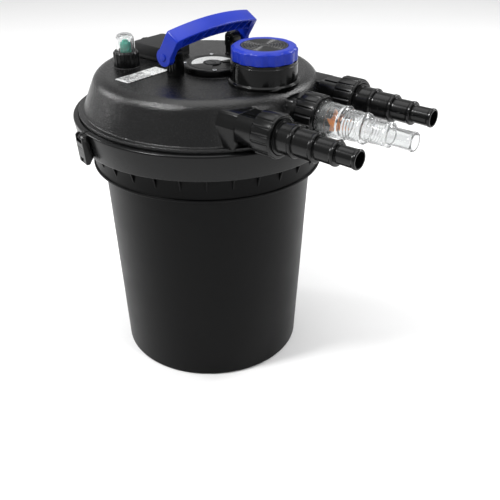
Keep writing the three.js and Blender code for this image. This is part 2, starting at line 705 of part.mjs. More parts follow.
function quartzSleeve() {
  const springZ = sleeveBottomZ + sleeveR;
  const dome = (radius) => Array.from({ length: 5 }, (_, i) => [
    radius * Math.sin(i * 18 * deg), springZ - radius * Math.cos(i * 18 * deg)]);
  const innerR = sleeveR - sleeveWall;
  return turned([
    ...dome(sleeveR), [sleeveR, springZ], [sleeveR, sleeveTopZ], [innerR, sleeveTopZ],
    [innerR, springZ], ...dome(innerR).reverse(),
  ]).translate(uvcX, 0, 0);
}

function sleeveNut() {
  const topZ = bodyBottomZ - seatGap;
  const nutInnerR = sleeveR + 0.8;
  return turned([
    [nutInnerR, topZ - 9], [uvcHoleR - 5, topZ - 9, 1], [uvcHoleR - 4, topZ], [nutInnerR, topZ],
  ], { ring: true, steps: 1 }).translate(uvcX, 0, 0);
}

const lampTopZ = sleeveTopZ - 18;
const lampBottomZ = sleeveBottomZ + sleeveR + 3;

function uvcLamp() {
  const tubeR = 0.326 * sleeveR;
  const tubeX = 0.4 * sleeveR;
  const tube = (side) => rod(tubeR, lampTopZ - lampBottomZ).translate(side * tubeX, 0, lampBottomZ);
  const bridge = block(-tubeX, tubeX, -tubeR / 2, tubeR / 2, lampBottomZ + 4, lampBottomZ + 10);
  return join(tube(-1), tube(1), bridge).translate(uvcX, 0, 0);
}

function lampSocket() {
  const plugInR = sleeveR - sleeveWall - 1.6;
  const shoulderZ = sleeveTopZ + 1.4;
  const socketTopZ = bodyFlangeTopZ - 1;
  return turned([
    [0, lampTopZ + seatGap], [plugInR, lampTopZ + seatGap], [plugInR, shoulderZ],
    [sleeveR + 1, shoulderZ], [sleeveR + 1, socketTopZ], [0, socketTopZ],
  ]).translate(uvcX, 0, 0);
}

// ---------------------------------------------------------------- handle
const legOuter = handleHalf;
const legInner = handleHalf - legThick;
const handleBase = handleThick / 2 + 1.2;
const toPose = (geometry) => geometry.rotateY(handleLean * deg).translate(0, 0, pivotZ);

// The bar's outer or inner edge: height above the pivot at a distance y from mid span.
function archZ(y, drop = 0) {
  return handleRise - drop + handleArch * (1 - (y / handleHalf) ** 2);
}

// Drawn across Y and up Z, with its thickness along X.
const across = (geometry) => geometry.rotateX(90 * deg).rotateZ(90 * deg);

// The pockets that leave an N-shaped truss in the bar: two triangles in each bay.
function trussPockets() {
  const reach = legInner - 1.5;
  const bay = 2 * reach / trussBays;
  const web = 2.2;
  const low = (y) => archZ(y, barDepth - handleSkin);
  const high = (y) => archZ(y, handleSkin);
  return Array.from({ length: trussBays }, (_, i) => {
    const y0 = -reach + i * bay + web / 2;
    const y1 = y0 + bay - web;
    return [
      [[y0, low(y0)], [y1 - web, low(y1)], [y0, high(y0) - web]],
      [[y0 + web, high(y0)], [y1, high(y1)], [y1, low(y1) + web]],
    ];
  }).flat();
}

function handle() {
  const half = handleThick / 2;
  const depth = handleThick + 4;
  const stations = Array.from({ length: 11 }, (_, i) => 1 - i / 5);
  const top = stations.map((t) => [t * legOuter, archZ(t * legOuter), Math.abs(t) === 1 ? 4 : 0]);
  const under = stations.map((t) => [
    -t * legInner, archZ(t * legInner, barDepth), Math.abs(t) === 1 ? 5 : 0]);
  const frame = across(prism([
    [legOuter, -handleBase], ...top, [-legOuter, -handleBase],
    [-legInner, -handleBase], ...under, [legInner, -handleBase],
  ], depth, { steps: 3 })).translate(-depth / 2, 0, 0);
  const crownZ = handleRise + handleArch + 2;
  const section = upright(prism([
    [-handleBase, -handleBase, handleBase - 0.9], [handleBase, -handleBase, handleBase - 0.9],
    [half, handleRise / 2], [half, crownZ], [-half, crownZ], [-half, handleRise / 2],
  ], 2 * (handleHalf + over), { steps: 5 })).translate(0, handleHalf + over, 0);
  const pocketDepth = handleThick - handleSkin;
  const pockets = trussPockets().map((corners) => across(prism(corners, pocketDepth + over))
    .translate(half - pocketDepth, 0, 0));
  const holes = [legOuter, -legInner].map((y) => bore(handlePinR + pinGap, legThick + 2 * over)
    .rotateX(90 * deg).translate(0, y + over, 0));
  return toPose(cut(common(frame, section), pockets, holes));
}

function handlePost(side) {
  const half = postDepth / 2;
  const grooveDepth = 2;
  const profile = upright(prism([
    [-half, seatZ], [half, seatZ], [half, pivotZ + half, half - 0.4],
    [-half, pivotZ + half, half - 0.4],
  ], postThick, { steps: 5 })).translate(0, postThick, 0);
  const hole = bore(handlePinR + pinGap, postThick + 2 * over).rotateX(90 * deg)
    .translate(0, postThick + over, pivotZ);
  const grooveY = side > 0 ? -over : postThick - grooveDepth;
  const groove = block(-half - over, half + over, grooveY, grooveY + grooveDepth + over,
    seatZ + 6, pivotZ - 12);
  return cut(profile, hole, groove)
    .translate(0, side > 0 ? postInner : -postInner - postThick, 0);
}

function handlePin(side) {
  const from = postInner - 2.4;
  const to = handleHalf + seatGap;
  const headR = 2 * handlePinR;
  const pin = turned([
    [0, from], [handlePinR, from], [handlePinR, to], [headR, to], [headR, to + 2, 0.8], [0, to + 2],
  ], { steps: 1 });
  return pin.rotateX(side > 0 ? -90 * deg : 90 * deg).translate(0, 0, pivotZ);
}

// ---------------------------------------------------------------- gauge
const gaugeSeatZ = lidTopZ + 2;
const stubTopZ = gaugeSeatZ + 12;
const domeFlangeR = domeR + 2.2;
const domeWall = 2;

function gaugeStub() {
  return turned([
    [gaugeHoleR, gaugeSeatZ + seatGap], [domeFlangeR, gaugeSeatZ + seatGap],
    [domeFlangeR, stubTopZ], [gaugeHoleR, stubTopZ],
  ], { ring: true }).translate(gaugeX, gaugeY, 0);
}

function gaugeNut() {
  const height = 21;
  const chamfer = turned([[0, 0], [gaugeNutR + over, 0], [gaugeNutR + over, height - 3],
    [gaugeNutR - 2.4, height], [0, height]]);
  const socket = bore(domeFlangeR + slipGap, height - 4 + over).translate(0, 0, -over);
  const mouth = bore(domeR + slipGap, height + over);
  return cut(common(prism(fluted(gaugeNutR, 1.2, nutTeeth), height), chamfer), socket, mouth)
    .translate(gaugeX, gaugeY, gaugeSeatZ + seatGap);
}

function gaugeDome() {
  const flangeZ = stubTopZ + seatGap;
  const innerR = domeR - domeWall;
  return turned([
    [0, domeTopZ - domeWall], [innerR, domeTopZ - domeWall, 5], [innerR, flangeZ],
    [domeFlangeR, flangeZ], [domeFlangeR, flangeZ + 2.4], [domeR, flangeZ + 2.4],
    [domeR, domeTopZ, 7], [0, domeTopZ],
  ], { steps: 3 }).translate(gaugeX, gaugeY, 0);
}

function gaugeFloat() {
  const floatR = domeR - 5;
  const shoulderZ = domeTopZ - 12;
  const tipR = 0.58 * floatR;
  return turned([
    [0, lidTopZ + over], [floatR, lidTopZ + over], [floatR, shoulderZ, 1.4], [tipR, shoulderZ],
    [tipR, shoulderZ + 3, 1], [0, shoulderZ + 3],
  ]).translate(gaugeX, gaugeY, 0);
}

// ---------------------------------------------------------------- ballast box and label
const ballastWall = 2.6;
const glandZ = seatZ + ballastHeight - 10.5;

// The ballast box's outline, set in from its walls.
const ballastOutline = (inset, back, front) => [
  [ballastX0 + inset, -ballastHalf + inset, back], [ballastX1 - inset, -ballastHalf + inset, front],
  [ballastX1 - inset, ballastHalf - inset, front], [ballastX0 + inset, ballastHalf - inset, back],
];

function ballastCover() {
  const hollowHeight = ballastHeight - ballastWall;
  return cut(
    prism(ballastOutline(0, 5, 3), ballastHeight).translate(0, 0, seatZ),
    prism(ballastOutline(ballastWall, 3, 2), hollowHeight + over).translate(0, 0, seatZ - over),
    alongX(bore(6.4, 8)).translate(ballastX0 - 2, 0, glandZ),
  );
}

function ballastCore() {
  return prism(ballastOutline(ballastWall + 3, 3, 3), ballastHeight - 6).translate(0, 0, seatZ);
}

function cableGland() {
  return turned([
    [3.4, 13], [5.4, 13], [8, 10, 2], [8, 4.8], [9.4, 4.4], [9.4, seatGap], [6, seatGap], [6, -4],
    [3.4, -4],
  ], { ring: true }).rotateY(-90 * deg).translate(ballastX0, 0, glandZ);
}

function labelPlate() {
  const [x0, x1, y0, y1] = [-0.323, -0.155, -0.814, -0.323].map((share) => share * domeCornerR);
  return prism([[x0, y0, 1.5], [x1, y0, 1.5], [x1, y1, 1.5], [x0, y1, 1.5]], 0.8)
    .translate(0, 0, lidTopZ + 0.3);
}

// ---------------------------------------------------------------- filter stack
const foamPitch = foamHeight + foamGap;
const firstFoamZ = stackBottomZ + gridThick + foamGap;
const topGridZ = firstFoamZ + foamCount * foamPitch;
const floorZ = footHeight + floorThick;

function grid(z) {
  const through = gridThick + 2 * over;
  const plate = cut(
    rod(foamR, gridThick),
    bore(strainerR + 1, through).translate(uvcX, 0, -over),
    [-rodY, rodY].map((y) => bore(rodR + pinGap, through).translate(0, y, -over)),
  );
  const window = [[0.504, -0.102], [0.898, -0.213], [0.898, 0.213], [0.504, 0.102]]
    .map(([x, y]) => [x * foamR, y * foamR]);
  const windows = around(gridWindows, () => prism(window, through).translate(0, 0, -over)
    .rotateZ(180 / gridWindows * deg));
  return cut(plate, windows).translate(0, 0, z);
}

function bottomGrid() {
  const legZ = floorZ + seatGap;
  const legs = around(4, () => rod(5, stackBottomZ - legZ + 1).translate(0.425 * foamR, 0, legZ)
    .rotateZ(45 * deg));
  return join(grid(stackBottomZ), legs);
}

function foam(i) {
  const through = foamHeight + 2 * over;
  return cut(
    rod(foamR, foamHeight),
    bore(strainerR + foamGap, through).translate(uvcX, 0, -over),
    [-rodY, rodY].map((y) => bore(rodR + foamGap, through).translate(0, y, -over)),
  ).translate(0, 0, firstFoamZ + i * foamPitch);
}

function strainer() {
  const z0 = floorZ + seatGap;
  const z1 = topGridZ + gridThick + 14;
  const innerR = strainerR - 2.4;
  const tube = turned([[innerR, z0], [strainerR, z0], [strainerR, z1], [innerR, z1]], { ring: true });
  const slot = (turn, z) => block(-strainerR - over, strainerR + over, -4, 4, 0, foamHeight - 22)
    .rotateZ(turn * deg).translate(0, 0, z);
  const slots = Array.from({ length: foamCount }, (_, row) => [0, 90].map(
    (turn) => slot(turn + 45 * (row % 2), firstFoamZ + 10 + row * foamPitch),
  )).flat();
  return cut(tube, slots).translate(uvcX, 0, 0);
}

function tieRod(y) {
  const past = 9;
  const nut = (z) => rod(7.6, 6).translate(0, 0, z);
  const topZ = topGridZ + gridThick;
  return join(
    rod(rodR, topZ - stackBottomZ + 2 * past).translate(0, 0, stackBottomZ - past),
    nut(stackBottomZ - seatGap - 6), nut(topZ + seatGap),
  ).translate(0, y, 0);
}

// ---------------------------------------------------------------- the pieces
add('bucket', bucket(), 'shell');
add('lid', lid(), 'shell');
add('lid_seal', lidSeal(), 'rubber');
add('clamp_ring', clampRing(), 'shell');
add('latch_lever', latchLever(), 'shell');
add('latch_pin', latchPin(), 'steel');

const ports = [['front', -portPitch], ['middle', 0], ['rear', portPitch]];
for (const [where, y] of ports) {
  add(`union_nut_${where}`, unionNut(y), 'shell');
  add(`port_gasket_${where}`, gasket(y), 'rubber');
  const clear = y === 0;
  add(`hose_tail_${where}`, hoseTail(y, clear ? clearSteps : blackSteps), clear ? 'clear' : 'shell');
}
add('flow_spider', flowSpider(), 'green');
add('flow_rotor', flowRotor(), 'orange');

add('valve_collar', valveCollar(), 'gloss');
add('valve_housing', valveHousing(), 'shell');
add('valve_rotor', valveRotor(), 'grey');
add('selector_knob', selectorKnob(), 'blue');
add('selector_inset', selectorInset(), 'slate');

add('uvc_cover', uvcCover(), 'shell');
for (let i = 0; i < 4; i += 1) add(`uvc_screw_${i + 1}`, uvcScrew(i), 'steel');
add('uvc_arc_plate', arcPlate(), 'label');
add('uvc_cap', uvcCap(), 'slate');
add('uvc_body', uvcBody(), 'shell');
add('quartz_sleeve', quartzSleeve(), 'quartz');
add('sleeve_nut', sleeveNut(), 'shell');
add('uvc_lamp', uvcLamp(), 'quartz');
add('lamp_socket', lampSocket(), 'label');

add('handle', handle(), 'blue');
for (const [where, side] of [['left', -1], ['right', 1]]) {
  add(`handle_post_${where}`, handlePost(side), 'shell');
  add(`handle_pin_${where}`, handlePin(side), 'gloss');
}

add('gauge_stub', gaugeStub(), 'shell');
add('gauge_nut', gaugeNut(), 'shell');
add('gauge_dome', gaugeDome(), 'clear');
add('gauge_float', gaugeFloat(), 'green');

add('ballast_cover', ballastCover(), 'shell');
add('ballast_core', ballastCore(), 'gloss');
add('cable_gland', cableGland(), 'shell');
add('label_plate', labelPlate(), 'label');

add('bottom_grid', bottomGrid(), 'shell');
add('top_grid', grid(topGridZ), 'shell');
for (let i = 0; i < foamCount; i += 1) add(`foam_${i + 1}`, foam(i), 'foam');
add('strainer_pipe', strainer(), 'shell');
add('tie_rod_left', tieRod(-rodY), 'steel');
add('tie_rod_right', tieRod(rodY), 'steel');

export default model;
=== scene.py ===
"""Looks of the pressurized pond filter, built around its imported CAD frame."""

import json
import math

import bmesh
import bpy
from bpy.props import FloatProperty, FloatVectorProperty, IntProperty, PointerProperty
from mathutils import Matrix, Vector


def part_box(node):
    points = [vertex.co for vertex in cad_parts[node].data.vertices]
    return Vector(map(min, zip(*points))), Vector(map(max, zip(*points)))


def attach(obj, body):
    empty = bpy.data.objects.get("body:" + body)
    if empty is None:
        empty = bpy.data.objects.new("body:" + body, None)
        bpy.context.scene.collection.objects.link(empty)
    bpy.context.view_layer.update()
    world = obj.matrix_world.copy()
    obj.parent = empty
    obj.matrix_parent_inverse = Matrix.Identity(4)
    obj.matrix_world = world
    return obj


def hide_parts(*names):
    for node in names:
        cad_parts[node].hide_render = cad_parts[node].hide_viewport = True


bl_info = {
    "name": "Pressurized Pond Filter",
    "version": (1, 0, 0),
    "blender": (4, 5, 0),
    "location": "3D View > Sidebar > Pond Filter",
    "description": "Builds the pieces and finishes of a pressurized pond filter",
    "category": "Object",
}

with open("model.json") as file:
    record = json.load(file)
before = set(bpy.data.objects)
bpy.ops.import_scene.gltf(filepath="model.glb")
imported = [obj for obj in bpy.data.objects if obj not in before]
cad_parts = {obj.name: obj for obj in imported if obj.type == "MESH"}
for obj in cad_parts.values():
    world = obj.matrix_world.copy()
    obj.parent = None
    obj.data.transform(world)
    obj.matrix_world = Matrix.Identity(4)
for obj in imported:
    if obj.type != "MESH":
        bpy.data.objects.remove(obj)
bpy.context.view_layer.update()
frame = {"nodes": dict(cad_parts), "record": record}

CAMERA_PLACE = (0.7179, -0.7699, 0.7560)
CAMERA_AIM = (-0.5501, 0.6668, -0.5029)
CAMERA_ROLL = -0.12
FLOOR_HALF = 9
WORLD_LIGHT = 0.5
# name, place in metres, width in metres, watts
LIGHTS = (
    ("key", (-0.65, -1.6, 2.5), 0.5, 56),
    ("left", (-2.2, -0.9, 1.3), 0.6, 16),
    ("fill", (2.3, -0.2, 1.5), 0.6, 16),
    ("rim", (0.9, 2.2, 1.9), 0.9, 26),
    ("top", (-0.2, 0.3, 3.0), 3.0, 46),
)

MM = 0.001
ROOT = "filter"
SMOOTH_ANGLE = math.radians(34)
LATHE_SIDES = 192


def span(node):
    """Lowest and highest corner of a CAD node, in millimetres."""
    low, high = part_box(node)
    return low / MM, high / MM


# ------------------------------------------------------------------ outlines
def rounded(corners, steps=4, ring=True):
    """Fillets a polyline of (x, y[, radius[, weight]]) corners and keeps each weight."""
    made = []
    count = len(corners)
    for i, corner in enumerate(corners):
        x, y, radius, weight = (*corner, 0, 0)[:4]
        if not radius or (not ring and i in (0, count - 1)):
            made.append((x, y, weight))
            continue
        here = Vector((x, y))
        back = (Vector(corners[i - 1][:2]) - here).normalized()
        on = (Vector(corners[(i + 1) % count][:2]) - here).normalized()
        half = math.acos(max(-1, min(1, back.dot(on)))) / 2
        middle = here + (back + on).normalized() * (radius / math.sin(half))
        start = here + back * (radius / math.tan(half)) - middle
        end = here + on * (radius / math.tan(half)) - middle
        swing = math.atan2(start.x * end.y - start.y * end.x, start.dot(end))
        for k in range(steps + 1):
            turned = Matrix.Rotation(swing * k / steps, 2) @ start
            made.append((middle.x + turned.x, middle.y + turned.y, weight))
    return made


def ribs(count, depth, share=0.6):
    """Radial offset round a circle: flat-topped ribs with rounded grooves between them."""

    def offset(angle):
        place = (angle * count / math.tau) % 1
        if place < share:
            return 0
        return -depth * math.sin(math.pi * (place - share) / (1 - share)) ** 0.7

    return offset


def scallops(count, depth):
    """Radial offset round a circle: wide shallow hollows with soft ridges between them."""
    return lambda angle: -depth * (0.5 + 0.5 * math.cos(count * angle)) ** 1.6


# ------------------------------------------------------------------ solids, in millimetres
def mesh_of(vertices, faces):
    mesh = bpy.data.meshes.new("solid")
    mesh.from_pydata(vertices, [], faces)
    work = bmesh.new()
    work.from_mesh(mesh)
    bmesh.ops.recalc_face_normals(work, faces=work.faces)
    work.to_mesh(mesh)
    work.free()
    return mesh


def lathe(corners, sides=LATHE_SIDES, ring=False, offset=None, steps=4):
    """Revolves (radius, z[, fillet[, weight]]) corners about Z.
    offset(angle) is added to each radius, times its corner's weight."""
    profile = rounded(corners, steps, ring)
    vertices, rows = [], []
    for radius, z, weight in profile:
        if radius < 1e-6:
            rows.append([len(vertices)] * sides)
            vertices.append((0, 0, z))
            continue
        rows.append(list(range(len(vertices), len(vertices) + sides)))
        for k in range(sides):
            angle = math.tau * k / sides
            r = radius + (weight * offset(angle) if offset else 0)
            vertices.append((r * math.cos(angle), r * math.sin(angle), z))
    faces = []
    for low, high in zip(rows, rows[1:] + rows[:1] if ring else rows[1:]):
        for k in range(sides):
            n = (k + 1) % sides
            face = list(dict.fromkeys((low[k], low[n], high[n], high[k])))
            if len(face) > 2:
                faces.append(face)
    return mesh_of(vertices, faces)


def prism(outline, depth):
    """Sharp-edged extrusion of an (x, y) outline from z = 0 to depth."""
    loop = [(p[0], p[1]) for p in rounded(outline)]
    count = len(loop)
    vertices = [(x, y, z) for z in (0, depth) for x, y in loop]
    sides = [(k, (k + 1) % count, (k + 1) % count + count, k + count) for k in range(count)]
    return mesh_of(vertices, [tuple(range(count)), tuple(range(count, 2 * count)), *sides])


def slab(outline, depth, edge=0.6, steps=4):
    """Extrusion of an (x, y) outline from z = 0 to depth, with rounded edges."""
    curve = bpy.data.curves.new("outline", "CURVE")
    curve.dimensions = "2D"
    curve.fill_mode = "BOTH"
    loop = rounded(outline, steps)
    spline = curve.splines.new("POLY")
    spline.points.add(len(loop) - 1)
    for point, (x, y, _) in zip(spline.points, loop):
        point.co = (x, y, 0, 1)
    spline.use_cyclic_u = True
    curve.extrude = depth / 2 - edge
    curve.bevel_depth = edge
    curve.bevel_resolution = 2
    curve.offset = -edge
    holder = bpy.data.objects.new("outline", curve)
    mesh = applied(holder)
    bpy.data.curves.remove(curve)
    mesh.transform(Matrix.Translation((0, 0, depth / 2)))
    return welded(mesh)


def welded(mesh, distance=0.002):
    work = bmesh.new()
    work.from_mesh(mesh)
    bmesh.ops.remove_doubles(work, verts=work.verts, dist=distance)
    bmesh.ops.recalc_face_normals(work, faces=work.faces)
    work.to_mesh(mesh)
    work.free()
    return mesh


def rod(radius, length, sides=96):
    return lathe([(0, 0), (radius, 0), (radius, length), (0, length)], sides)


def block(x0, x1, y0, y1, z0, z1):
    return shift(prism([(x0, y0), (x1, y0), (x1, y1), (x0, y1)], z1 - z0), 0, 0, z0)


def shift(mesh, x=0, y=0, z=0):
    mesh.transform(Matrix.Translation((x, y, z)))
    return mesh


def turn(mesh, degrees, axis):
    mesh.transform(Matrix.Rotation(math.radians(degrees), 4, axis))
    return mesh


def along_x(mesh):
    """A solid built along +Z points along +X."""
    return turn(mesh, 90, "Y")


def upright(mesh, half=0):
    """A solid drawn in x and y stands in x and z, its depth along Y, centred on y = 0."""
    return shift(turn(mesh, 90, "X"), 0, half, 0)


def across(mesh):
    """A solid drawn in x and y stands in y and z, its depth along +X."""
    return turn(turn(mesh, 90, "X"), 90, "Z")


def together(meshes):
    """Puts several solids in one mesh, without a boolean."""
    work = bmesh.new()
    for mesh in meshes:
        work.from_mesh(mesh)
    joined = bpy.data.meshes.new("solid")
    work.to_mesh(joined)
    work.free()
    return joined


def applied(holder):
    """The mesh of an object with its modifiers applied. The object is removed."""
    bpy.context.scene.collection.objects.link(holder)
    graph = bpy.context.evaluated_depsgraph_get()
    mesh = bpy.data.meshes.new_from_object(holder.evaluated_get(graph))
    bpy.data.objects.remove(holder)
    return mesh


def combined(operation, base, tools):
    holder = bpy.data.objects.new("base", base)
    helpers = []
    for tool in tools:
        helper = bpy.data.objects.new("tool", tool)
        bpy.context.scene.collection.objects.link(helper)
        helpers.append(helper)
        step = holder.modifiers.new("step", "BOOLEAN")
        step.operation = operation
        step.solver = "EXACT"
        step.object = helper
    mesh = applied(holder)
    for helper in helpers:
        bpy.data.objects.remove(helper)
    return mesh


def cut(base, *tools):
    return combined("DIFFERENCE", base, tools)


def fused(base, *tools):
    return combined("UNION", base, tools)


def common(base, *tools):
    return combined("INTERSECT", base, tools)


def softened(mesh, width, angle=38, segments=2):
    """Rounds the sharp edges that a boolean leaves."""
    holder = bpy.data.objects.new("base", mesh)
    bevel = holder.modifiers.new("edges", "BEVEL")
    bevel.width = width
    bevel.segments = segments
    bevel.limit_method = "ANGLE"
    bevel.angle_limit = math.radians(angle)
    bevel.use_clamp_overlap = True
    return applied(holder)


def place(name, mesh, finish, body, slot, *nodes):
    """Turns a mesh in millimetres into a finished piece that rides a CAD body."""
    mesh.transform(Matrix.Scale(MM, 4))
    mesh.name = name
    mesh.materials.clear()
    mesh.materials.append(finish)
    mesh.polygons.foreach_set("material_index", [0] * len(mesh.polygons))
    mesh.polygons.foreach_set("use_smooth", [True] * len(mesh.polygons))
    mesh.set_sharp_from_angle(angle=SMOOTH_ANGLE)
    obj = bpy.data.objects.new(name, mesh)
    bpy.context.scene.collection.objects.link(obj)
    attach(obj, body)
    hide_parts(*nodes)
    return obj


# ------------------------------------------------------------------ finishes
class Signal:
    """A value in a shader. Arithmetic on it adds Math nodes."""

    def __init__(self, finish, socket):
        self.finish = finish
        self.socket = socket

    def math(self, operation, first, second):
        return self.finish.math(operation, first, second)

    def __add__(self, other):
        return self.math("ADD", self, other)

    __radd__ = __add__

    def __sub__(self, other):
        return self.math("SUBTRACT", self, other)

    def __rsub__(self, other):
        return self.math("SUBTRACT", other, self)

    def __mul__(self, other):
        return self.math("MULTIPLY", self, other)

    __rmul__ = __mul__

    def __gt__(self, other):
        return self.math("GREATER_THAN", self, other)

    def __lt__(self, other):
        return self.math("LESS_THAN", self, other)


class Finish:
    """One procedural material with a Principled shader."""

    def __init__(self, name, **shader):
        self.material = bpy.data.materials.new(name)
        self.material.use_nodes = True
        self.tree = self.material.node_tree
        self.shader = self.tree.nodes["Principled BSDF"]
        for socket, value in shader.items():
            self.shader.inputs[socket.replace("_", " ")].default_value = value
        place_node = self.tree.nodes.new("ShaderNodeTexCoord")
        self.place = Signal(self, place_node.outputs["Object"])

    def node(self, kind, settings=None, inputs=None, output=0):
        """Adds a node: its settings first, then the values or links of its sockets."""
        made = self.tree.nodes.new(kind)
        for key, value in (settings or {}).items():
            setattr(made, key, value)
        for key, value in (inputs or {}).items():
            if isinstance(value, Signal):
                self.tree.links.new(value.socket, made.inputs[key])
            else:
                made.inputs[key].default_value = value
        return Signal(self, made.outputs[output])

    def math(self, operation, first, second):
        return self.node("ShaderNodeMath", {"operation": operation}, {0: first, 1: second})

    def axis(self, number):
        """One coordinate of the surface, in metres."""
        return self.node("ShaderNodeSeparateXYZ", {}, {0: self.place}, output=number)

    def noise(self, size, detail=3.0, roughness=0.55):
        """Noise whose features are about size millimetres across."""
        return self.node(
            "ShaderNodeTexNoise",
            {},
            {"Vector": self.place, "Scale": 1 / (size * MM), "Detail": detail, "Roughness": roughness},
        )

    def cells(self, size, feature="F1"):
        """Rounded grains about size millimetres across."""
        return self.node(
            "ShaderNodeTexVoronoi", {"feature": feature}, {"Vector": self.place, "Scale": 1 / (size * MM)}
        )

    def mix(self, factor, first, second):
        return self.node(
            "ShaderNodeMix", {"data_type": "RGBA"}, {0: factor, 6: first, 7: second}, output=2
        )

    def feed(self, socket, signal):
        self.tree.links.new(signal.socket, self.shader.inputs[socket])
        return self

    def bump(self, height, depth, strength=1.0):
        """height, from 0 to 1, stands depth millimetres."""
        normal = self.node(
            "ShaderNodeBump", {}, {"Strength": strength, "Distance": depth * MM, "Height": height}
        )
        return self.feed("Normal", normal)


def tone(colour, factor):
    return (*[min(1.0, c * factor) for c in colour[:3]], 1)


def moulded(name, colour, roughness, grain, grain_depth, **shader):
    """Moulded plastic: fine spark-eroded grain and cloudy gloss. grain and its depth are in mm."""
    spread = 0.1
    finish = Finish(name, **shader)
    cloud = finish.noise(38, 4.0)
    speck = finish.noise(grain, 2.0)
    base = finish.mix(cloud, tone(colour, 0.82), tone(colour, 1.22))
    finish.feed("Base Color", base)
    finish.feed("Roughness", (cloud - 0.5) * spread + (speck - 0.5) * spread * 0.6 + roughness)
    finish.bump(speck, grain_depth)
    return finish.material


def pebbled(name, colour, roughness, level):
    """The lid's moulded grain: small glossy pebbles that sparkle where light grazes them."""
    finish = Finish(name, Specular_IOR_Level=level)
    pebble = finish.cells(1.6)
    fine = finish.noise(1.0, 2.0)
    cloud = finish.noise(55, 4.0)
    relief = fine * 0.6 - pebble
    finish.feed("Base Color", finish.mix(cloud, tone(colour, 0.85), tone(colour, 1.3)))
    finish.feed("Roughness", (fine - 0.5) * 0.4 + (cloud - 0.5) * 0.1 + roughness)
    finish.bump(relief, 0.24)
    return finish.material


def film(name, pale, dark, ink_from, ink_to):
    """Printed film without any lettering: a pale ground with slanting strokes.
    The strokes are dense where y, in metres, lies from ink_from to ink_to."""
    finish = Finish(name, Roughness=0.4)
    stretched = finish.node(
        "ShaderNodeMapping", {},
        {"Vector": finish.place, "Rotation": (0, 0, 0.5), "Scale": (280.0, 900.0, 1.0)},
    )
    strokes = finish.node(
        "ShaderNodeTexNoise", {}, {"Vector": stretched, "Scale": 1.0, "Detail": 1.0}
    )
    y = finish.axis(1)
    dense = (y > ink_from) * (y < ink_to)
    edge = finish.node("ShaderNodeMath", {"operation": "MULTIPLY_ADD"}, {0: dense, 1: -0.1, 2: 0.57})
    ink = finish.math("GREATER_THAN", strokes, edge)
    finish.feed("Base Color", finish.mix(ink * 0.9, pale, dark))
    finish.bump(ink, 0.02)
    return finish.material


def dial_film(name, pale, dark, centre_x):
    """The lamp cover's arc of film: pale round part of the arc, black for the rest."""
    finish = Finish(name, Roughness=0.4)
    angle = finish.math("ARCTAN2", finish.axis(1), centre_x - finish.axis(0))
    lit = (angle > math.radians(-58)) * (angle < math.radians(107))
    dots = finish.noise(1.3, 2.0)
    ground = finish.mix((dots > 0.55) * 0.45, pale, dark)
    finish.feed("Base Color", finish.mix(lit, dark, ground))
    finish.bump(dots, 0.01)
    return finish.material


def clear_plastic(name, tint, roughness, clarity=0.92):
    """Clear moulding with flow lines and a little haze."""
    finish = Finish(name, Transmission_Weight=clarity, IOR=1.46)
    haze = finish.noise(6, 3.0)
    flow = finish.noise(26, 2.0)
    finish.feed("Base Color", finish.mix(flow, tone(tint, 0.93), tone(tint, 1.0)))
    finish.feed("Roughness", haze * 0.08 + roughness)
    finish.bump(flow, 0.03)
    return finish.material


def brushed(name, colour):
    finish = Finish(name, Metallic=1.0)
    lines = finish.node(
        "ShaderNodeTexNoise",
        {},
        {
            "Vector": finish.node(
                "ShaderNodeMapping", {}, {"Vector": finish.place, "Scale": (300.0, 300.0, 4000.0)}
            ),
            "Scale": 1.0,
            "Detail": 3.0,
        },
    )
    finish.feed("Base Color", finish.mix(lines, tone(colour, 0.8), tone(colour, 1.1)))
    finish.feed("Roughness", lines * 0.25 + 0.16)
    finish.bump(lines, 0.02)
    return finish.material


def sponge(name, colour):
    """Open-cell foam: pale struts, with painted shade that darkens the pores between them."""
    finish = Finish(name, Roughness=0.95)
    pore_relief_and_shade = finish.cells(3.2)
    struts = finish.noise(1.2, 3.0)
    # painted shade: the pores are darkened to a quarter of the foam's colour, and the struts are a quarter
    # lighter than it
    finish.feed("Base Color", finish.mix(pore_relief_and_shade * 1.6, tone(colour, 0.25), tone(colour, 1.25)))
    finish.bump(struts * 0.4 - pore_relief_and_shade, 1.2)
    return finish.material


def rubbery(name, colour):
    finish = Finish(name, Roughness=0.75)
    dust = finish.noise(5, 4.0)
    finish.feed("Base Color", finish.mix(dust, tone(colour, 0.8), tone(colour, 1.8)))
    finish.feed("Roughness", dust * 0.2 + 0.62)
    finish.bump(finish.noise(0.6), 0.04)
    return finish.material


class FinishSettings(bpy.types.PropertyGroup):
    """Colours of the filter's finishes."""

    shell: FloatVectorProperty(
        name="Shell", description="Satin plastic of the bucket, ring and lid",
        subtype="COLOR", size=3, min=0, max=1, default=(0.0024, 0.0025, 0.0026),
    )
    blue: FloatVectorProperty(
        name="Blue", description="Plastic of the handle and the selector knob",
        subtype="COLOR", size=3, min=0, max=1, default=(0.004, 0.022, 0.33),
    )
    slate: FloatVectorProperty(
        name="Slate", description="Plastic of the knob's inset and the lamp cap",
        subtype="COLOR", size=3, min=0, max=1, default=(0.012, 0.0125, 0.013),
    )
    gauge: FloatVectorProperty(
        name="Gauge", description="Plastic of the gauge's piston",
        subtype="COLOR", size=3, min=0, max=1, default=(0.001, 0.30, 0.21),
    )
    rotor: FloatVectorProperty(
        name="Rotor", description="Plastic of the flow indicator's rotor",
        subtype="COLOR", size=3, min=0, max=1, default=(0.85, 0.26, 0.03),
    )
    foam: FloatVectorProperty(
        name="Foam", description="Filter foam",
        subtype="COLOR", size=3, min=0, max=1, default=(0.014, 0.08, 0.34),
    )
    film: FloatVectorProperty(
        name="Film", description="Ground of the printed film",
        subtype="COLOR", size=3, min=0, max=1, default=(0.62, 0.63, 0.62),
    )


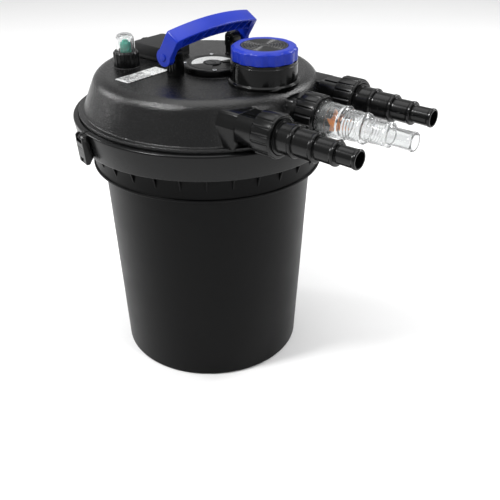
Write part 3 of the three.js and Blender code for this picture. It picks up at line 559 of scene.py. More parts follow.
class SizeSettings(bpy.types.PropertyGroup):
    """Sizes that shape the visible pieces."""

    gusset_count: IntProperty(
        name="Gussets", description="Ribs round the bucket's collar", default=30, min=8, max=60,
    )
    nut_ribs: IntProperty(
        name="Nut ribs", description="Grip ribs on each union nut", default=18, min=8, max=40,
    )
    knob_scallops: IntProperty(
        name="Scallops", description="Finger hollows round the selector knob", default=12, min=6, max=24,
    )
    inset_grooves: IntProperty(
        name="Inset grooves", description="Round grooves in the knob's inset", default=6, min=2, max=12,
    )
    truss_bays: IntProperty(
        name="Truss bays", description="Slanting pockets in the handle's bar", default=8, min=3, max=16,
    )
    edge: FloatProperty(
        name="Edge", description="Rounding of the lid's moulded edges",
        subtype="DISTANCE", unit="LENGTH", default=0.0007, min=0.0002, max=0.002,
    )
    camera_lens: FloatProperty(
        name="Lens", description="Focal length of the camera, in millimetres",
        subtype="NONE", default=53.8, min=20, max=200,
    )


finishes = {}


def sizes():
    return bpy.context.scene.pond_filter_sizes


# ------------------------------------------------------------------ levels read from the frame
BUCKET_TOP = span("bucket")[1].z
RING_LOW, RING_HIGH = span("clamp_ring")[0].z, span("clamp_ring")[1].z
PORT_Z = (span("union_nut_middle")[0].z + span("union_nut_middle")[1].z) / 2
NUT_START, NUT_END = span("union_nut_middle")[0].x, span("union_nut_middle")[1].x
PORT_YS = {
    where: (span(f"union_nut_{where}")[0].y + span(f"union_nut_{where}")[1].y) / 2
    for where in ("front", "middle", "rear")
}
SEAT_Z = span("valve_collar")[0].z
LID_TOP = SEAT_Z - 0.4
VALVE_X = (span("selector_knob")[0].x + span("selector_knob")[1].x) / 2
LAMP_X = (span("uvc_cover")[0].x + span("uvc_cover")[1].x) / 2
PIVOT_Z = LID_TOP + 29.6
GAUGE = ((span("gauge_nut")[0] + span("gauge_nut")[1]) / 2).to_2d()
LATCH_ANGLE = -106
HANDLE_LEAN = 31.4


class MakeFinishes(bpy.types.Operator):
    """Makes every finish and gives one to each carried-over CAD node."""

    bl_idname = "pond_filter.finishes"
    bl_label = "Finishes"
    bl_options = {"REGISTER", "UNDO"}

    def execute(self, context):
        colours = context.scene.pond_filter_finishes
        shell, blue = colours.shell, colours.blue
        made = {
            "shell": moulded("satin_black", shell, 0.4, 0.8, 0.05, Specular_IOR_Level=0.08),
            "ring": moulded("ring_black", tone(shell, 1.3), 0.26, 0.7, 0.03, Specular_IOR_Level=0.22),
            "lid": pebbled("pebbled_black", shell, 0.22, 0.42),
            "port": moulded("port_black", shell, 0.2, 2.4, 0.03, Specular_IOR_Level=0.26),
            "box": moulded("box_black", tone(shell, 2.2), 0.6, 1.4, 0.08, Specular_IOR_Level=0.4),
            "gloss": moulded("polished_black", tone(shell, 0.6), 0.12, 6, 0.004,
                             Specular_IOR_Level=0.3),
            "blue": moulded("royal_blue", blue, 0.32, 1.1, 0.015, Specular_IOR_Level=0.3),
            "slate": moulded("slate", colours.slate, 0.34, 0.6, 0.03, Specular_IOR_Level=0.4),
            "green": moulded("turquoise", colours.gauge, 0.35, 1, 0.02),
            "frame": moulded("dark_green", (0.004, 0.012, 0.009), 0.35, 1, 0.02),
            "orange": moulded("orange", colours.rotor, 0.38, 1, 0.02),
            "grey": moulded("grey", (0.32, 0.34, 0.36), 0.45, 1, 0.02),
            "label": film("printed_film", tone(colours.film, 1), (0.03, 0.03, 0.033, 1),
                          -0.123, -0.08),
            "dial": dial_film("dial_film", tone(colours.film, 0.85), (0.004, 0.004, 0.004, 1),
                              LAMP_X * MM),
            "clear": clear_plastic("clear_plastic", (0.82, 0.83, 0.83), 0.04, 0.96),
            "dome": clear_plastic("clear_dome", (0.98, 0.99, 0.99), 0.0, 0.97),
            "quartz": clear_plastic("quartz", (0.95, 0.98, 1.0), 0.01),
            "steel": brushed("stainless", (0.72, 0.73, 0.75)),
            "rubber": rubbery("black_rubber", (0.012, 0.012, 0.012)),
            "foam": sponge("filter_foam", colours.foam),
        }
        finishes.update(made)
        slots = {row["node"]: row["material_slot"] for row in frame["record"]["subparts"]}
        for node, obj in frame["nodes"].items():
            obj.data.materials.clear()
            obj.data.materials.append(finishes[slots[node]])
        return {"FINISHED"}


class MakeBucket(bpy.types.Operator):
    """Builds the tapered bucket with its ribbed collar and rim flange."""

    bl_idname = "pond_filter.bucket"
    bl_label = "Bucket"
    bl_options = {"REGISTER", "UNDO"}

    def execute(self, context):
        count = sizes().gusset_count
        foot, mouth, wall = 139, 154, 4
        collar, skirt, rim_edge = 167, 169.4, 181
        floor, web, web_edge = 6.4, 3.6, 1.2
        lip = BUCKET_TOP - 52
        rim = BUCKET_TOP - 10
        boss, hollow, recess = 22, 115, 2.4
        inside = collar - web
        shell = lathe([
            (0, 0), (boss, 0, 0.8), (boss, recess, 0.8), (hollow, recess, 0.8), (hollow, 0, 0.8),
            (foot, 0, 4), (mouth, lip, web_edge), (skirt, lip, web_edge),
            (skirt, lip + web, web_edge), (collar, lip + web, 0.6), (collar, rim, 1),
            (rim_edge, rim, 1), (rim_edge, BUCKET_TOP, 1), (inside, BUCKET_TOP, 1),
            (inside, lip + 4, 2), (mouth - wall, lip + 4, 2), (foot - wall, floor, 5), (0, floor),
        ])
        root = collar - 1.5
        outline = [(root, lip + 15), (collar + 0.3, lip + 15.5, 0.6), (rim_edge - 4, rim + 1),
                   (root, rim + 1)]
        gusset = upright(slab(outline, 2.2, 0.5), 1.1)
        ribs_round = together(
            [turn(gusset.copy(), 360 * i / count, "Z") for i in range(count)]
        )
        place("bucket_shell", fused(shell, ribs_round), finishes["shell"], ROOT, "shell", "bucket")
        return {"FINISHED"}


class MakeClampRing(bpy.types.Operator):
    """Builds the clamp ring with its closing lugs, the latch lever and its pin."""

    bl_idname = "pond_filter.clamp_ring"
    bl_label = "Clamp ring and latch"
    bl_options = {"REGISTER", "UNDO"}

    def execute(self, context):
        low, high = RING_LOW, RING_HIGH
        band = lathe([
            (184.6, high), (192, high, 2.8), (186, low, 1.6), (178, low, 0.8), (178, low + 3.6),
            (182.6, low + 3.6, 1), (188.6, high - 3.6, 1), (184.6, high - 3.6),
        ], ring=True, sides=256)
        pivot, level = 196.2, high - 6.2
        outline = [
            (pivot - 7, level + 4), (pivot, level + 4, 3), (pivot + 4, level, 3),
            (pivot + 1, level - 7, 1.5), (pivot - 3.4, level - 29, 2), (pivot - 12, level - 29),
        ]
        half = 8.2
        lugs = upright(slab(outline, 2 * half, 0.8), half)
        slit = block(176, 205, -1.2, 1.2, low - 2, high + 2)
        hole = upright(shift(rod(2.3, 40, 32), pivot, level, 0), 20)
        turned = [turn(m, LATCH_ANGLE, "Z") for m in (lugs, slit, hole)]
        ring = cut(fused(band, turned[0]), turned[1], turned[2])
        place("clamp_band", ring, finishes["ring"], ROOT, "shell", "clamp_ring")
        self.build_lever(pivot, level, half)
        return {"FINISHED"}

    def build_lever(self, pivot, level, lug_half):
        drop, head = 37, 4.6
        slope = 6 / 37.6
        inner = -head - slope * (drop - 9)
        half = lug_half + 3.4

        def at(corners):
            return [(pivot + x, level + z, *more) for x, z, *more in corners]

        body = upright(slab(at([
            (-head, 1.5, 3), (-1.5, head, 3), (1.5, head, 3), (head, 1.5, 3), (head - 0.2, -6, 4),
            (1.6, -drop, 1.4), (-3.4, -drop, 1.4), (inner, 9 - drop, 3),
        ]), 2 * half, 0.9), half)
        inside = lug_half + 0.4
        channel = upright(prism(at([
            (-16, 12), (12, 12), (12, -6), (head - 3.2, -6.6), (-1.2, 3 - drop), (-16, 3 - drop),
        ]), 2 * inside), inside)
        hole = upright(shift(rod(2.3, 40, 32), pivot, level, 0), 20)
        notch = upright(shift(rod(7, 12, 48), pivot + 7.2, level - drop + 3, 0), 6)
        grips = [
            upright(shift(rod(0.9, 2 * half - 6, 16), pivot + head - 0.5 - 0.07 * k, level - 14 - 3.4 * k, 0),
                    half - 3)
            for k in range(4)
        ]
        lever = cut(body, channel, hole, notch, *grips)
        place("latch_toggle", turn(lever, LATCH_ANGLE, "Z"), finishes["ring"], "latch", "shell",
              "latch_lever")
        reach = half + 0.4
        pin = lathe([
            (0, -reach - 1.6), (3.4, -reach - 1.6, 0.9), (3.4, -reach), (2, -reach), (2, reach),
            (3.4, reach), (3.4, reach + 1.6, 0.9), (0, reach + 1.6),
        ], 48)
        pin = shift(turn(pin, 90, "X"), pivot, 0, level)
        place("latch_axle", turn(pin, LATCH_ANGLE, "Z"), finishes["gloss"], ROOT, "steel", "latch_pin")


class MakeLid(bpy.types.Operator):
    """Builds the domed lid with its three flat-topped ducts, spigots and seats."""

    bl_idname = "pond_filter.lid"
    bl_label = "Lid"
    bl_options = {"REGISTER", "UNDO"}

    def execute(self, context):
        low = BUCKET_TOP + 0.4
        flange = RING_HIGH - 4
        rim = RING_HIGH + 5.4
        plug, seal = 162.2, 352.4
        top, corner, dome = LID_TOP, 154.8, 176.5
        shell = lathe([
            (0, top), (corner, top, 22), (dome, rim, 2), (183.3, rim, 1), (183.3, flange),
            (187.2, flange, 0.6), (183.6, low), (plug, low), (plug, seal + 3), (157.7, seal + 3),
            (157.7, seal - 3), (plug, seal - 3), (plug, low - 22, 1), (155.2, low - 22, 1),
            (155.2, low + 5), (172.3, low + 8), (172.3, rim), (151.6, top - 4.2, 18), (0, top - 4.2),
        ], steps=10, sides=256)
        ducts, saddles, bores = [], [], []
        high_foot, duct_start, duct_half = RING_HIGH + 5, 95, 28
        for y in PORT_YS.values():
            start = math.sqrt(corner ** 2 - y ** 2) - (24 if abs(y) > 1 else 6)
            end = NUT_START - (27.6 if abs(y) > 1 else 8)
            ducts += self.duct(y, start, end)
            saddles.append(shift(along_x(rod(29.2, 28.5, 128)), NUT_START - 0.8, y, PORT_Z))
            bores.append(shift(along_x(rod(18.5, NUT_END - start, 96)), start - 6, y, PORT_Z))
        seat = cut(
            shift(lathe([(0, 0), (51, 0), (51, 3, 0.8), (0, 3)], 128), LAMP_X, 0, top - 2.7),
            block(-18, 18, 51, 69, top, top + 3), block(-18, 18, -69, -51, top, top + 3),
            shift(rod(48.8, 4), VALVE_X, 0, top),
        )
        gauge_seat = shift(
            lathe([(0, 0), (19, 0), (19, 3, 0.8), (0, 3)], 96), GAUGE.x, GAUGE.y, top - 1
        )
        holes = [
            shift(rod(39, 30), VALVE_X, 0, top - 20), shift(rod(31, 30), LAMP_X, 0, top - 20),
            shift(rod(9, 30, 64), GAUGE.x, GAUGE.y, top - 20),
        ]
        solid = fused(cut(shell, *saddles), *ducts, seat, gauge_seat)
        solid = softened(cut(solid, *bores, *holes), sizes().edge / MM, 50)
        lid = place("lid_dome", solid, finishes["lid"], ROOT, "shell", "lid")
        lid.data.materials.append(finishes["port"])
        for face in lid.data.polygons:
            x, y, z = face.center / MM
            over_duct = x > duct_start and min(abs(y - port) for port in PORT_YS.values()) < duct_half
            wall = dome - (dome - corner) * (z - rim) / (top - rim) + 0.8
            flat_top = face.normal.z > 0.95 and z < top - 4
            if over_duct and z > high_foot and (flat_top or math.hypot(x, y) > wall):
                face.material_index = 1
        return {"FINISHED"}

    def duct(self, y, start, end):
        """A flat-topped duct, a flat-topped neck, a thread core and a plain pad, as four solids."""
        foot = RING_HIGH + 4.6 - PORT_Z
        flank = [(27, foot, 0), (26, 3, 7), (17.2, 20, 6)]
        section = [(-a, b, r) for a, b, r in flank] + [(a, b, r) for a, b, r in reversed(flank)]
        body = slab([(-b, a, r) for a, b, r in section], end - start, 1.2, steps=6)
        neck = cut(
            along_x(rod(24.6, NUT_START - 7 - start)),
            block(-5, 200, -40, 40, 19.6, 60),
        )
        thread = along_x(rod(23.6, 17.5))
        pad = block(NUT_START - 26, NUT_START - 6, -9, 9, 18, 20.8)
        return [
            shift(along_x(body), start, y, PORT_Z),
            shift(neck, start + 4, y, PORT_Z),
            shift(thread, NUT_START - 4, y, PORT_Z),
            shift(pad, 0, y, PORT_Z),
        ]


class MakeUnionNuts(bpy.types.Operator):
    """Builds the three ribbed union nuts."""

    bl_idname = "pond_filter.union_nuts"
    bl_label = "Union nuts"
    bl_options = {"REGISTER", "UNDO"}

    def execute(self, context):
        count = sizes().nut_ribs
        for where, y in PORT_YS.items():
            nut = lathe([
                (25.2, 0, 0.4), (28.6, 0, 0.8, 1), (28.6, 25.5, 0.8, 1), (27.6, 25.7, 0.3, 0),
                (27.6, 26.6, 0.3, 0), (26.8, 28.5, 1.0, 0), (23.2, 28.5, 0.5, 0), (23.2, 24, 0.2, 0),
                (25.2, 24, 0.2, 0),
            ], sides=count * 14, ring=True, offset=ribs(count, 1.3))
            place(f"nut_{where}", shift(along_x(nut), NUT_START, y, PORT_Z), finishes["port"],
                  f"nut_{where}", "shell", f"union_nut_{where}")
        return {"FINISHED"}


class MakeHoseTails(bpy.types.Operator):
    """Builds the two black stepped hose tails and the clear one."""

    bl_idname = "pond_filter.hose_tails"
    bl_label = "Hose tails"
    bl_options = {"REGISTER", "UNDO"}

    def execute(self, context):
        black = [(24, 20.9), (29, 18.9), (28, 15.9), (28, 12.6)]
        clear = [(34, 22.6), (30, 20.2), (34, 16.4), (33, 12.6)]
        for where, y in PORT_YS.items():
            steps, rings = (clear, 3) if where == "middle" else (black, 0)
            place(f"tail_{where}", shift(along_x(self.tail(steps, rings)), 0, y, PORT_Z),
                  finishes["clear" if where == "middle" else "port"], ROOT,
                  "clear" if where == "middle" else "shell", f"hose_tail_{where}")
        return {"FINISHED"}

    def tail(self, steps, rings):
        wall, flange = 2.6, 197.2
        start = NUT_END + 1.2
        ends = [start]
        for length, _ in steps:
            ends.append(ends[-1] + length)
        outside, inside = [], []
        for i, (length, radius) in enumerate(steps):
            a, b = ends[i], ends[i + 1]
            outside += [(radius - 1.1, a, 0.2), (radius - 1.1, a + 2.2, 0.8)]
            for k in range(rings if i < 3 else 0):
                z = a + 5 + 4.2 * k
                outside += [(radius - 0.9, z, 0.3), (radius - 0.2, z + 0.8, 0.4),
                            (radius - 0.9, z + 1.7, 0.3)]
            outside += [
                (radius - 0.75, b - 5.5, 2), (radius, b - 3.6, 1), (radius, b - 1.3, 0.8),
                (radius - 0.8, b, 0.4),
            ]
            if i:
                inside += [
                    (steps[i - 1][1] - wall, a - 3 - steps[i - 1][1] + radius, 0.5),
                    (radius - wall, a - 3, 0.5),
                ]
        tip = steps[-1][1] - wall
        return lathe([
            (steps[0][1] - wall, flange), (24, flange, 0.4), (24, flange + 4, 0.4),
            (22.4, flange + 4), (22.4, start, 0.3), *outside, (tip, ends[-1], 0.4),
            *reversed(inside),
        ], sides=128, ring=True, steps=3)


class MakeFlowIndicator(bpy.types.Operator):
    """Builds the flow indicator's spider and rotor, seen through the clear tail."""

    bl_idname = "pond_filter.flow_indicator"
    bl_label = "Flow indicator"
    bl_options = {"REGISTER", "UNDO"}

    def execute(self, context):
        low, high = span("flow_spider")
        outer = (high.z - low.z) / 2
        rim = lathe([
            (outer - 1.8, -4), (outer, -4, 0.3), (outer, 6, 0.3), (outer - 1.8, 6),
        ], 96, ring=True)
        arms = [turn(block(2, outer - 1, -0.9, 0.9, 0.5, 5.5), 120 * i, "Z") for i in range(3)]
        hub = lathe([(0, 0), (3.4, 0, 0.5), (3.4, 6, 0.4), (1.2, 6), (1.2, 21), (2.4, 21, 0.2),
                     (2.4, 22.4, 0.5), (0, 22.4)], 48)
        spider = fused(rim, hub, *arms)
        place("flow_frame", shift(along_x(spider), low.x, 0, PORT_Z), finishes["frame"], ROOT, "green",
              "flow_spider")
        low, high = span("flow_rotor")
        blades = [turn(self.blade(14, 11), 90 * i, "Z") for i in range(4)]
        core = lathe([(1.5, 0), (3.4, 0, 0.4), (3.4, 11, 0.4), (1.5, 11)], 48, ring=True)
        place("flow_wheel", shift(along_x(together([core, *blades])), low.x, 0, PORT_Z),
              finishes["orange"], "rotor", "orange", "flow_rotor")
        return {"FINISHED"}

    def blade(self, radius, length):
        """A thin blade that twists along its length."""
        rows, faces = [], []
        steps, thick = 6, 0.7
        for side in (-1, 1):
            for k in range(steps + 1):
                z = 0.4 + (length - 0.8) * k / steps
                angle = math.radians(44) * (k / steps - 0.5)
                for r in (3.0, 8.5, radius):
                    along = Vector((math.cos(angle), math.sin(angle)))
                    off = Vector((-along.y, along.x)) * side * thick
                    rows.append((along.x * r + off.x, along.y * r + off.y, z))
        wide, sheet = 3, 3 * (steps + 1)
        for k in range(steps):
            for j in range(wide - 1):
                a = k * wide + j
                faces.append((a, a + 1, a + wide + 1, a + wide))
                faces.append((a + sheet, a + wide + sheet, a + wide + 1 + sheet, a + 1 + sheet))
            for j in (0, wide - 1):
                a = k * wide + j
                faces.append((a, a + wide, a + wide + sheet, a + sheet))
        for k in (0, steps):
            for j in range(wide - 1):
                a = k * wide + j
                faces.append((a, a + 1, a + 1 + sheet, a + sheet))
        return mesh_of(rows, faces)


class MakeSelector(bpy.types.Operator):
    """Builds the selector's polished collar, scalloped knob and grooved inset."""

    bl_idname = "pond_filter.selector"
    bl_label = "Selector"
    bl_options = {"REGISTER", "UNDO"}

    def execute(self, context):
        top = span("valve_collar")[1].z
        collar = lathe([
            (36, SEAT_Z), (48.2, SEAT_Z, 0.5), (48.2, SEAT_Z + 3, 0.9), (45.4, SEAT_Z + 4.4, 1.2),
            (44.9, top - 4, 0.4), (44.3, top - 3.6, 0.4), (44.3, top, 0.7), (7.4, top),
            (7.4, top - 4), (36, top - 4),
        ], ring=True)
        place("selector_collar", shift(collar, VALVE_X), finishes["gloss"], ROOT, "gloss",
              "valve_collar")
        knob_low, knob_high = span("selector_knob")[0].z, span("selector_knob")[1].z
        count = sizes().knob_scallops
        knob = lathe([
            (7.5, knob_low + 1, 0), (11, knob_low + 1), (11, knob_low + 6), (40.6, knob_low + 6),
            (40.6, knob_low), (44.6, knob_low, 0.7, 1), (44.6, knob_high - 3, 2.6, 1),
            (40.6, knob_high, 1.6, 0.35), (32, knob_high, 0.6), (32, knob_high - 2.6),
            (7.5, knob_high - 2.6),
        ], sides=count * 24, ring=True, offset=scallops(count, 1.7), steps=5)
        place("selector_grip", shift(turn(knob, 15, "Z"), VALVE_X), finishes["blue"], "selector",
              "blue", "selector_knob")
        low, high = span("selector_inset")[0].z, span("selector_inset")[1].z
        grooves = sizes().inset_grooves
        corners = [(0, low), (31.4, low), (31.4, high, 0.4)]
        for k in range(grooves):
            edge = 29.6 - k * 23.8 / grooves
            corners += [(edge, high, 0.5), (edge - 0.7, high - 1.5, 0.3),
                        (edge - 1.9, high - 1.5, 0.3), (edge - 2.6, high, 0.5)]
        corners += [(5, high, 0.3), (4.6, high - 0.5, 0.3), (0, high - 0.5)]
        place("selector_disc", shift(lathe(corners, steps=2), VALVE_X), finishes["slate"], "selector",
              "slate", "selector_inset")
        return {"FINISHED"}


class MakeLampUnit(bpy.types.Operator):
    """Builds the lamp unit's cover, arc of film, cap and screws."""

    bl_idname = "pond_filter.lamp_unit"
    bl_label = "Lamp unit"
    bl_options = {"REGISTER", "UNDO"}

    def execute(self, context):
        top = span("uvc_cover")[1].z
        cover = lathe([
            (0, SEAT_Z + 3.6), (36.6, SEAT_Z + 3.6), (36.6, SEAT_Z), (43, SEAT_Z, 0.6),
            (43, top - 1.4, 0.8), (41.6, top, 0.8), (36, top, 0.5), (35.4, top - 0.7, 0.4),
            (34.4, top - 0.7, 0.4), (33.8, top, 0.4), (31, top, 0.4), (31, top - 1.2),
            (12, top - 1.2), (12, top - 2.4), (0, top - 2.4),
        ])
        hole = rod(1.7, 12, 32)
        holes = [shift(hole.copy(), 39.7 * math.cos(a), 39.7 * math.sin(a), SEAT_Z - 0.5)
                 for a in (math.radians(45 + 90 * i) for i in range(4))]
        place("lamp_cover", shift(cut(cover, *holes), LAMP_X), finishes["ring"], ROOT, "shell",
              "uvc_cover")
        low, high = span("uvc_arc_plate")[0].z, span("uvc_arc_plate")[1].z
        stations = [math.radians(180 + 130 * (k / 32 - 1)) for k in range(65)]
        outline = [(30.2 * math.cos(a), 30.2 * math.sin(a)) for a in stations]
        outline += [(14.1 * math.cos(a), 14.1 * math.sin(a)) for a in reversed(stations)]
        plate = slab(outline, high - low, 0.15)
        place("lamp_film", shift(plate, LAMP_X, 0, low), finishes["dial"], ROOT, "label",
              "uvc_arc_plate")
        low = span("uvc_cap")[0].z
        cap = lathe([
            (0, low), (11.3, low, 0.2), (11.3, low + 2.6, 0.9), (8.6, low + 3, 0.5),
            (8.2, low + 2.5, 0.3), (7.0, low + 2.4, 0.3), (6.6, low + 2.9, 0.3), (0, low + 2.9),
        ], 96)
        slot = block(-6, 6, -0.8, 0.8, low + 2, low + 4)
        place("lamp_cap", shift(cut(cap, slot), LAMP_X), finishes["slate"], ROOT, "slate", "uvc_cap")
        for i in range(4):
            self.screw(i)
        return {"FINISHED"}

    def screw(self, i):
        low, high = span(f"uvc_screw_{i + 1}")
        body = lathe([
            (0, low.z), (1.4, low.z, 0.3), (1.4, high.z - 1.4), (3, high.z - 1.4, 0.1),
            (2.9, high.z - 0.6, 0.5), (0, high.z),
        ], 48)
        cross = [block(-1.7, 1.7, -0.35, 0.35, high.z - 0.9, high.z + 1),
                 block(-0.35, 0.35, -1.7, 1.7, high.z - 0.9, high.z + 1)]
        turned = turn(cut(body, *cross), 25 + 37 * i, "Z")
        centre = (low + high) / 2
        place(f"lamp_screw_{i + 1}", shift(turned, centre.x, centre.y), finishes["steel"], ROOT,
              "steel", f"uvc_screw_{i + 1}")


class MakeHandle(bpy.types.Operator):
    """Builds the arched handle with its truss pockets, the posts and the pins."""

    bl_idname = "pond_filter.handle"
    bl_label = "Handle"
    bl_options = {"REGISTER", "UNDO"}

    def execute(self, context):
        outer = span("handle")[1].y
        leg, rise, arch, thick, bar = 9.5, 36.5, 9, 22, 17
        inner = outer - leg
        base = thick / 2 + 1.2

        def crown(y, drop=0):
            return rise - drop + arch * (1 - (y / outer) ** 2)

        stations = [1 - k / 12 for k in range(25)]
        top = [(t * outer, crown(t * outer), 4 if abs(t) == 1 else 0) for t in stations]
        under = [(-t * inner, crown(t * inner, bar), 5 if abs(t) == 1 else 0) for t in stations]
        outline = [(outer, -base), *top, (-outer, -base), (-inner, -base), *under, (inner, -base)]
        frame_solid = shift(across(slab(outline, thick, 1.3, steps=6)), -thick / 2)
        wide = shift(across(prism(outline, thick + 2.4)), -thick / 2 - 1.2)
        foot = common(wide, upright(shift(rod(base, 2 * outer + 4, 96), 0, 0, 0), outer + 2))
        pockets = []
        count, skin, web = sizes().truss_bays, 2.4, 2.0
        reach = inner - 1.5
        bay = 2 * reach / count
        depth = thick - skin
        for i in range(count):
            y0 = -reach + i * bay + web / 2
            y1 = y0 + bay - web
            y2, y3 = (min(y + 0.6 * bay, reach - web / 2) for y in (y0, y1))
            corners = [(y0, crown(y0, bar - skin), 0.8), (y1, crown(y1, bar - skin), 0.8),
                       (y3, crown(y3, skin), 0.8), (y2, crown(y2, skin), 0.8)]
            if y3 - y2 < 1.5:
                corners = [*corners[:2], (y3, crown(y3, skin), 0.8)]
            pockets.append(shift(across(prism(corners, depth + 2)), thick / 2 - depth))
        first = -reach + web / 2
        pockets.append(shift(across(prism([
            (first, crown(first, bar - skin - 3), 0.6), (first + 0.5 * bay, crown(first, skin), 0.6),
            (first, crown(first, skin), 0.6)], depth + 2)), thick / 2 - depth))
        trimmed = cut(frame_solid, block(-30, 30, -outer - 5, outer + 5, -base - 5, 2))
        legs = [block(-thick / 2 + 0.2, thick / 2 - 0.2, y, y + leg, 0, 6) for y in (-outer, inner)]
        solid = fused(trimmed, foot, *legs)
        holes = [upright(rod(3.3, leg + 4, 48), outer + 2), upright(rod(3.3, leg + 4, 48), -inner + 2)]
        solid = softened(cut(solid, together(pockets), *holes), 0.5, 50)
        solid = shift(turn(solid, HANDLE_LEAN, "Y"), 0, 0, PIVOT_Z)
        place("carry_handle", solid, finishes["blue"], "handle", "blue", "handle")
        for where, side in (("left", -1), ("right", 1)):
            self.post(where, side)
            self.pin(where, side)
        return {"FINISHED"}

    def post(self, where, side):
        low, high = span(f"handle_post_{where}")
        half = (high.x - low.x) / 2
        thick = high.y - low.y
        body = upright(slab([
            (-half, low.z), (half, low.z), (half, high.z, half - 0.4), (-half, high.z, half - 0.4),
        ], thick, 0.7, steps=8), thick / 2)
        hole = upright(rod(3.3, thick + 4, 48), thick / 2 + 2)
        shift(hole, 0, 0, PIVOT_Z)
        face = -side * thick / 2
        groove = block(-half - 1, half + 1, min(face, face + side * 2), max(face, face + side * 2),
                       low.z + 6, PIVOT_Z - 12)
        flutes = [block(x - 0.7, x + 0.7, side * thick / 2 - 0.8, side * thick / 2 + 0.8,
                        low.z + 3, PIVOT_Z - 9) for x in (-5, 0, 5)]
        solid = softened(cut(body, hole, groove, *flutes), 0.35, 50)
        place(f"post_{where}", shift(solid, 0, (low.y + high.y) / 2), finishes["port"], ROOT, "shell",
              f"handle_post_{where}")

    def pin(self, where, side):
        low, high = span(f"handle_pin_{where}")
        length = high.y - low.y
        body = lathe([
            (0, 0), (3, 0, 0.4), (3, length - 2), (4.6, length - 2, 0.2), (4.6, length - 1, 0.7),
            (0, length - 0.8),
        ], 64)
        body = turn(body, -90 if side > 0 else 90, "X")
        start = low.y if side > 0 else high.y
        pin = place(f"pin_{where}", shift(body, 0, start, PIVOT_Z), finishes["gloss"], ROOT, "gloss",
                    f"handle_pin_{where}")
        pin.data.materials.append(finishes["blue"])
        outer = span("handle")[1].y * MM
        for face in pin.data.polygons:
            if abs(face.center.y) > outer:
                face.material_index = 1


class MakeGauge(bpy.types.Operator):
    """Builds the dirt gauge: ribbed nut, clear dome and turquoise piston."""

    bl_idname = "pond_filter.gauge"
    bl_label = "Gauge"
    bl_options = {"REGISTER", "UNDO"}

    def execute(self, context):
        low, high = span("gauge_nut")[0].z, span("gauge_nut")[1].z
        nut = lathe([
            (15.3, low), (18, low, 0.5, 1), (18, high - 3, 0.8, 1), (15.6, high, 0.8, 0.2),
            (13.1, high, 0.4), (13.1, high - 4), (15.3, high - 4),
        ], sides=18 * 12, ring=True, offset=ribs(18, 1.2, 0.5))
        place("gauge_ring_nut", shift(nut, *GAUGE), finishes["ring"], "gauge_cap", "shell",
              "gauge_nut")
        low, high = span("gauge_dome")[0].z, span("gauge_dome")[1].z
        dome = lathe([
            (0, high - 2), (10.6, high - 2, 5), (10.6, low), (14.8, low, 0.3), (14.8, low + 2.4, 0.3),
            (12.6, low + 2.4, 0.2), (12.6, high, 7), (0, high),
        ], 96, steps=8)
        place("gauge_window", shift(dome, *GAUGE), finishes["dome"], ROOT, "clear", "gauge_dome")
        low, high = span("gauge_float")[0].z, span("gauge_float")[1].z
        corners = [(0, low), (7.6, low, 0.5)]
        for k in range(5):
            z = high - 9 - 3 * (5 - k)
            corners += [(7.6, z, 0.2), (7.1, z + 0.4, 0.1), (7.1, z + 0.8, 0.1), (7.6, z + 1.2, 0.2)]
        corners += [(7.6, high - 3, 1.2), (4.4, high - 3, 0.3), (4.4, high, 1), (2, high, 0.3),
                    (1.6, high - 1.4, 0.2), (0, high - 1.4)]
        place("gauge_piston_body", shift(lathe(corners, 64, steps=2), *GAUGE), finishes["green"],
              "gauge_piston", "green", "gauge_float")
        return {"FINISHED"}


class MakeBallast(bpy.types.Operator):
    """Builds the ballast box, its cable gland and the printed strip."""

    bl_idname = "pond_filter.ballast"
    bl_label = "Ballast box"
    bl_options = {"REGISTER", "UNDO"}

    def execute(self, context):
        low, high = span("ballast_cover")
        box = shift(slab([
            (low.x, low.y, 5), (high.x, low.y, 3), (high.x, high.y, 3), (low.x, high.y, 5),
        ], high.z - low.z, 1.6, steps=6), 0, 0, low.z)
        gland_hole = shift(along_x(rod(6.1, 8, 48)), low.x - 2, 0, high.z - 10.5)
        seam = cut(
            block(low.x - 1, high.x + 1, low.y - 1, high.y + 1, low.z + 5, low.z + 5.8),
            block(low.x + 0.8, high.x - 0.8, low.y + 0.8, high.y - 0.8, low.z, low.z + 10),
        )
        solid = softened(cut(box, gland_hole, seam), 0.3, 50)
        place("ballast_box", solid, finishes["box"], ROOT, "shell", "ballast_cover", "ballast_core")
        gland = lathe([
            (3.4, 13, 0.3), (5.4, 13, 0.8), (8, 10, 1.6), (8, 4.8, 0.3), (9.4, 4.4, 0.4),
            (9.4, 0.4, 0.3), (6, 0.4), (6, -4), (3.4, -4),
        ], 64, ring=True)
        gland = shift(turn(gland, -90, "Y"), low.x, 0, high.z - 10.5)
        place("cable_outlet", gland, finishes["port"], ROOT, "shell", "cable_gland")
        low, high = span("label_plate")
        strip = slab([
            (low.x, low.y, 1.5), (high.x, low.y, 1.5), (high.x, high.y, 1.5), (low.x, high.y, 1.5),
        ], high.z - low.z, 0.2)
        place("printed_strip", shift(strip, 0, 0, low.z), finishes["label"], ROOT, "label",
              "label_plate")
        return {"FINISHED"}


class MakeFoams(bpy.types.Operator):
    """Builds the four foam rings of the filter stack."""

    bl_idname = "pond_filter.foams"
    bl_label = "Foams"
    bl_options = {"REGISTER", "UNDO"}

    def execute(self, context):
        for i in range(1, 5):
            low, high = span(f"foam_{i}")
            radius = high.x
            ring = lathe([
                (0, low.z), (radius, low.z, 4), (radius, high.z, 4), (0, high.z),
            ], 128, steps=5)
            through = high.z - low.z + 4
            holes = [shift(rod(31.5, through, 96), LAMP_X, 0, low.z - 2)]
            holes += [shift(rod(5.5, through, 32), 0, y, low.z - 2) for y in (-88, 88)]
            obj = place(f"foam_ring_{i}", cut(ring, *holes), finishes["foam"], ROOT, "foam",
                        f"foam_{i}")
        return {"FINISHED"}


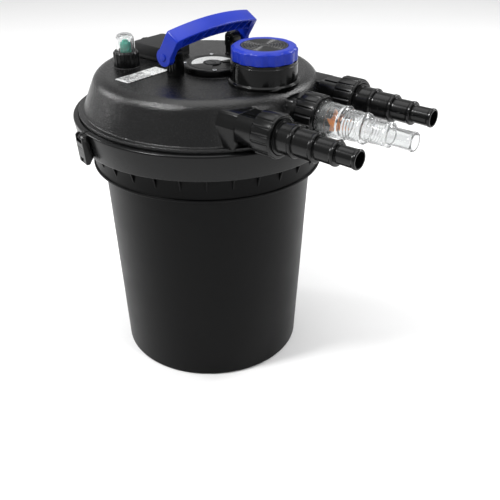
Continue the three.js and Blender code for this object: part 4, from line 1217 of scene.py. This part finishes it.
class MakeStage(bpy.types.Operator):
    """Sets out the pale floor, the soft lights and the camera."""

    bl_idname = "pond_filter.stage"
    bl_label = "Stage"
    bl_options = {"REGISTER", "UNDO"}

    def execute(self, context):
        scene = context.scene
        half = FLOOR_HALF
        corners = [(-half, -half, 0), (half, -half, 0), (half, half, 0), (-half, half, 0)]
        floor_mesh = mesh_of(corners, [(0, 1, 2, 3)])
        pale = Finish("pale_floor", Roughness=0.8)
        cloud = pale.noise(400, 2.0)
        pale.feed("Base Color", pale.mix(cloud, (0.86, 0.86, 0.86, 1), (0.89, 0.89, 0.89, 1)))
        floor_mesh.materials.append(pale.material)
        floor = bpy.data.objects.new("floor", floor_mesh)
        scene.collection.objects.link(floor)

        world = bpy.data.worlds.new("studio")
        world.use_nodes = True
        sky = world.node_tree.nodes["Background"]
        sky.inputs["Color"].default_value = (1, 1, 1, 1)
        sky.inputs["Strength"].default_value = WORLD_LIGHT
        scene.world = world

        scene.view_settings.view_transform = "Standard"
        for light in LIGHTS:
            self.soft_light(*light)

        camera = bpy.data.cameras.new("camera")
        camera.lens = sizes().camera_lens
        camera.sensor_width = 36
        camera.clip_end = 50
        holder = bpy.data.objects.new("camera", camera)
        forward = Vector(CAMERA_AIM).normalized()
        holder.rotation_mode = "QUATERNION"
        roll = Matrix.Rotation(math.radians(CAMERA_ROLL), 3, forward)
        aim = roll @ forward.to_track_quat("-Z", "Y").to_matrix()
        holder.rotation_quaternion = aim.to_quaternion()
        holder.location = CAMERA_PLACE
        scene.collection.objects.link(holder)
        scene.camera = holder
        return {"FINISHED"}

    def soft_light(self, name, location, size, power):
        lamp = bpy.data.lights.new(name, "AREA")
        lamp.shape = "DISK"
        lamp.size = size
        lamp.energy = power
        holder = bpy.data.objects.new(name, lamp)
        holder.location = location
        aim = Vector((0, 0, 0.3)) - Vector(location)
        holder.rotation_mode = "QUATERNION"
        holder.rotation_quaternion = aim.to_track_quat("-Z", "Y")
        bpy.context.scene.collection.objects.link(holder)


class PondFilterPanel(bpy.types.Panel):
    """Lists the filter's settings and the operators that build it."""

    bl_idname = "VIEW3D_PT_pond_filter"
    bl_label = "Pond Filter"
    bl_space_type = "VIEW_3D"
    bl_region_type = "UI"
    bl_category = "Pond Filter"

    def draw(self, context):
        for group in (context.scene.pond_filter_sizes, context.scene.pond_filter_finishes):
            for name in group.__annotations__:
                self.layout.prop(group, name)
        for maker in MAKERS:
            self.layout.operator(maker.bl_idname)


MAKERS = (
    MakeFinishes, MakeBucket, MakeClampRing, MakeLid, MakeUnionNuts, MakeHoseTails,
    MakeFlowIndicator, MakeSelector, MakeLampUnit, MakeHandle, MakeGauge, MakeBallast, MakeFoams,
    MakeStage,
)
CLASSES = (FinishSettings, SizeSettings, *MAKERS, PondFilterPanel)


def register():
    for item in CLASSES:
        bpy.utils.register_class(item)
    bpy.types.Scene.pond_filter_finishes = PointerProperty(type=FinishSettings)
    bpy.types.Scene.pond_filter_sizes = PointerProperty(type=SizeSettings)


def unregister():
    del bpy.types.Scene.pond_filter_sizes
    del bpy.types.Scene.pond_filter_finishes
    for item in reversed(CLASSES):
        bpy.utils.unregister_class(item)


def main():
    register()
    for maker in MAKERS:
        group, name = maker.bl_idname.split(".")
        getattr(getattr(bpy.ops, group), name)()


if __name__ == "__main__":
    main()
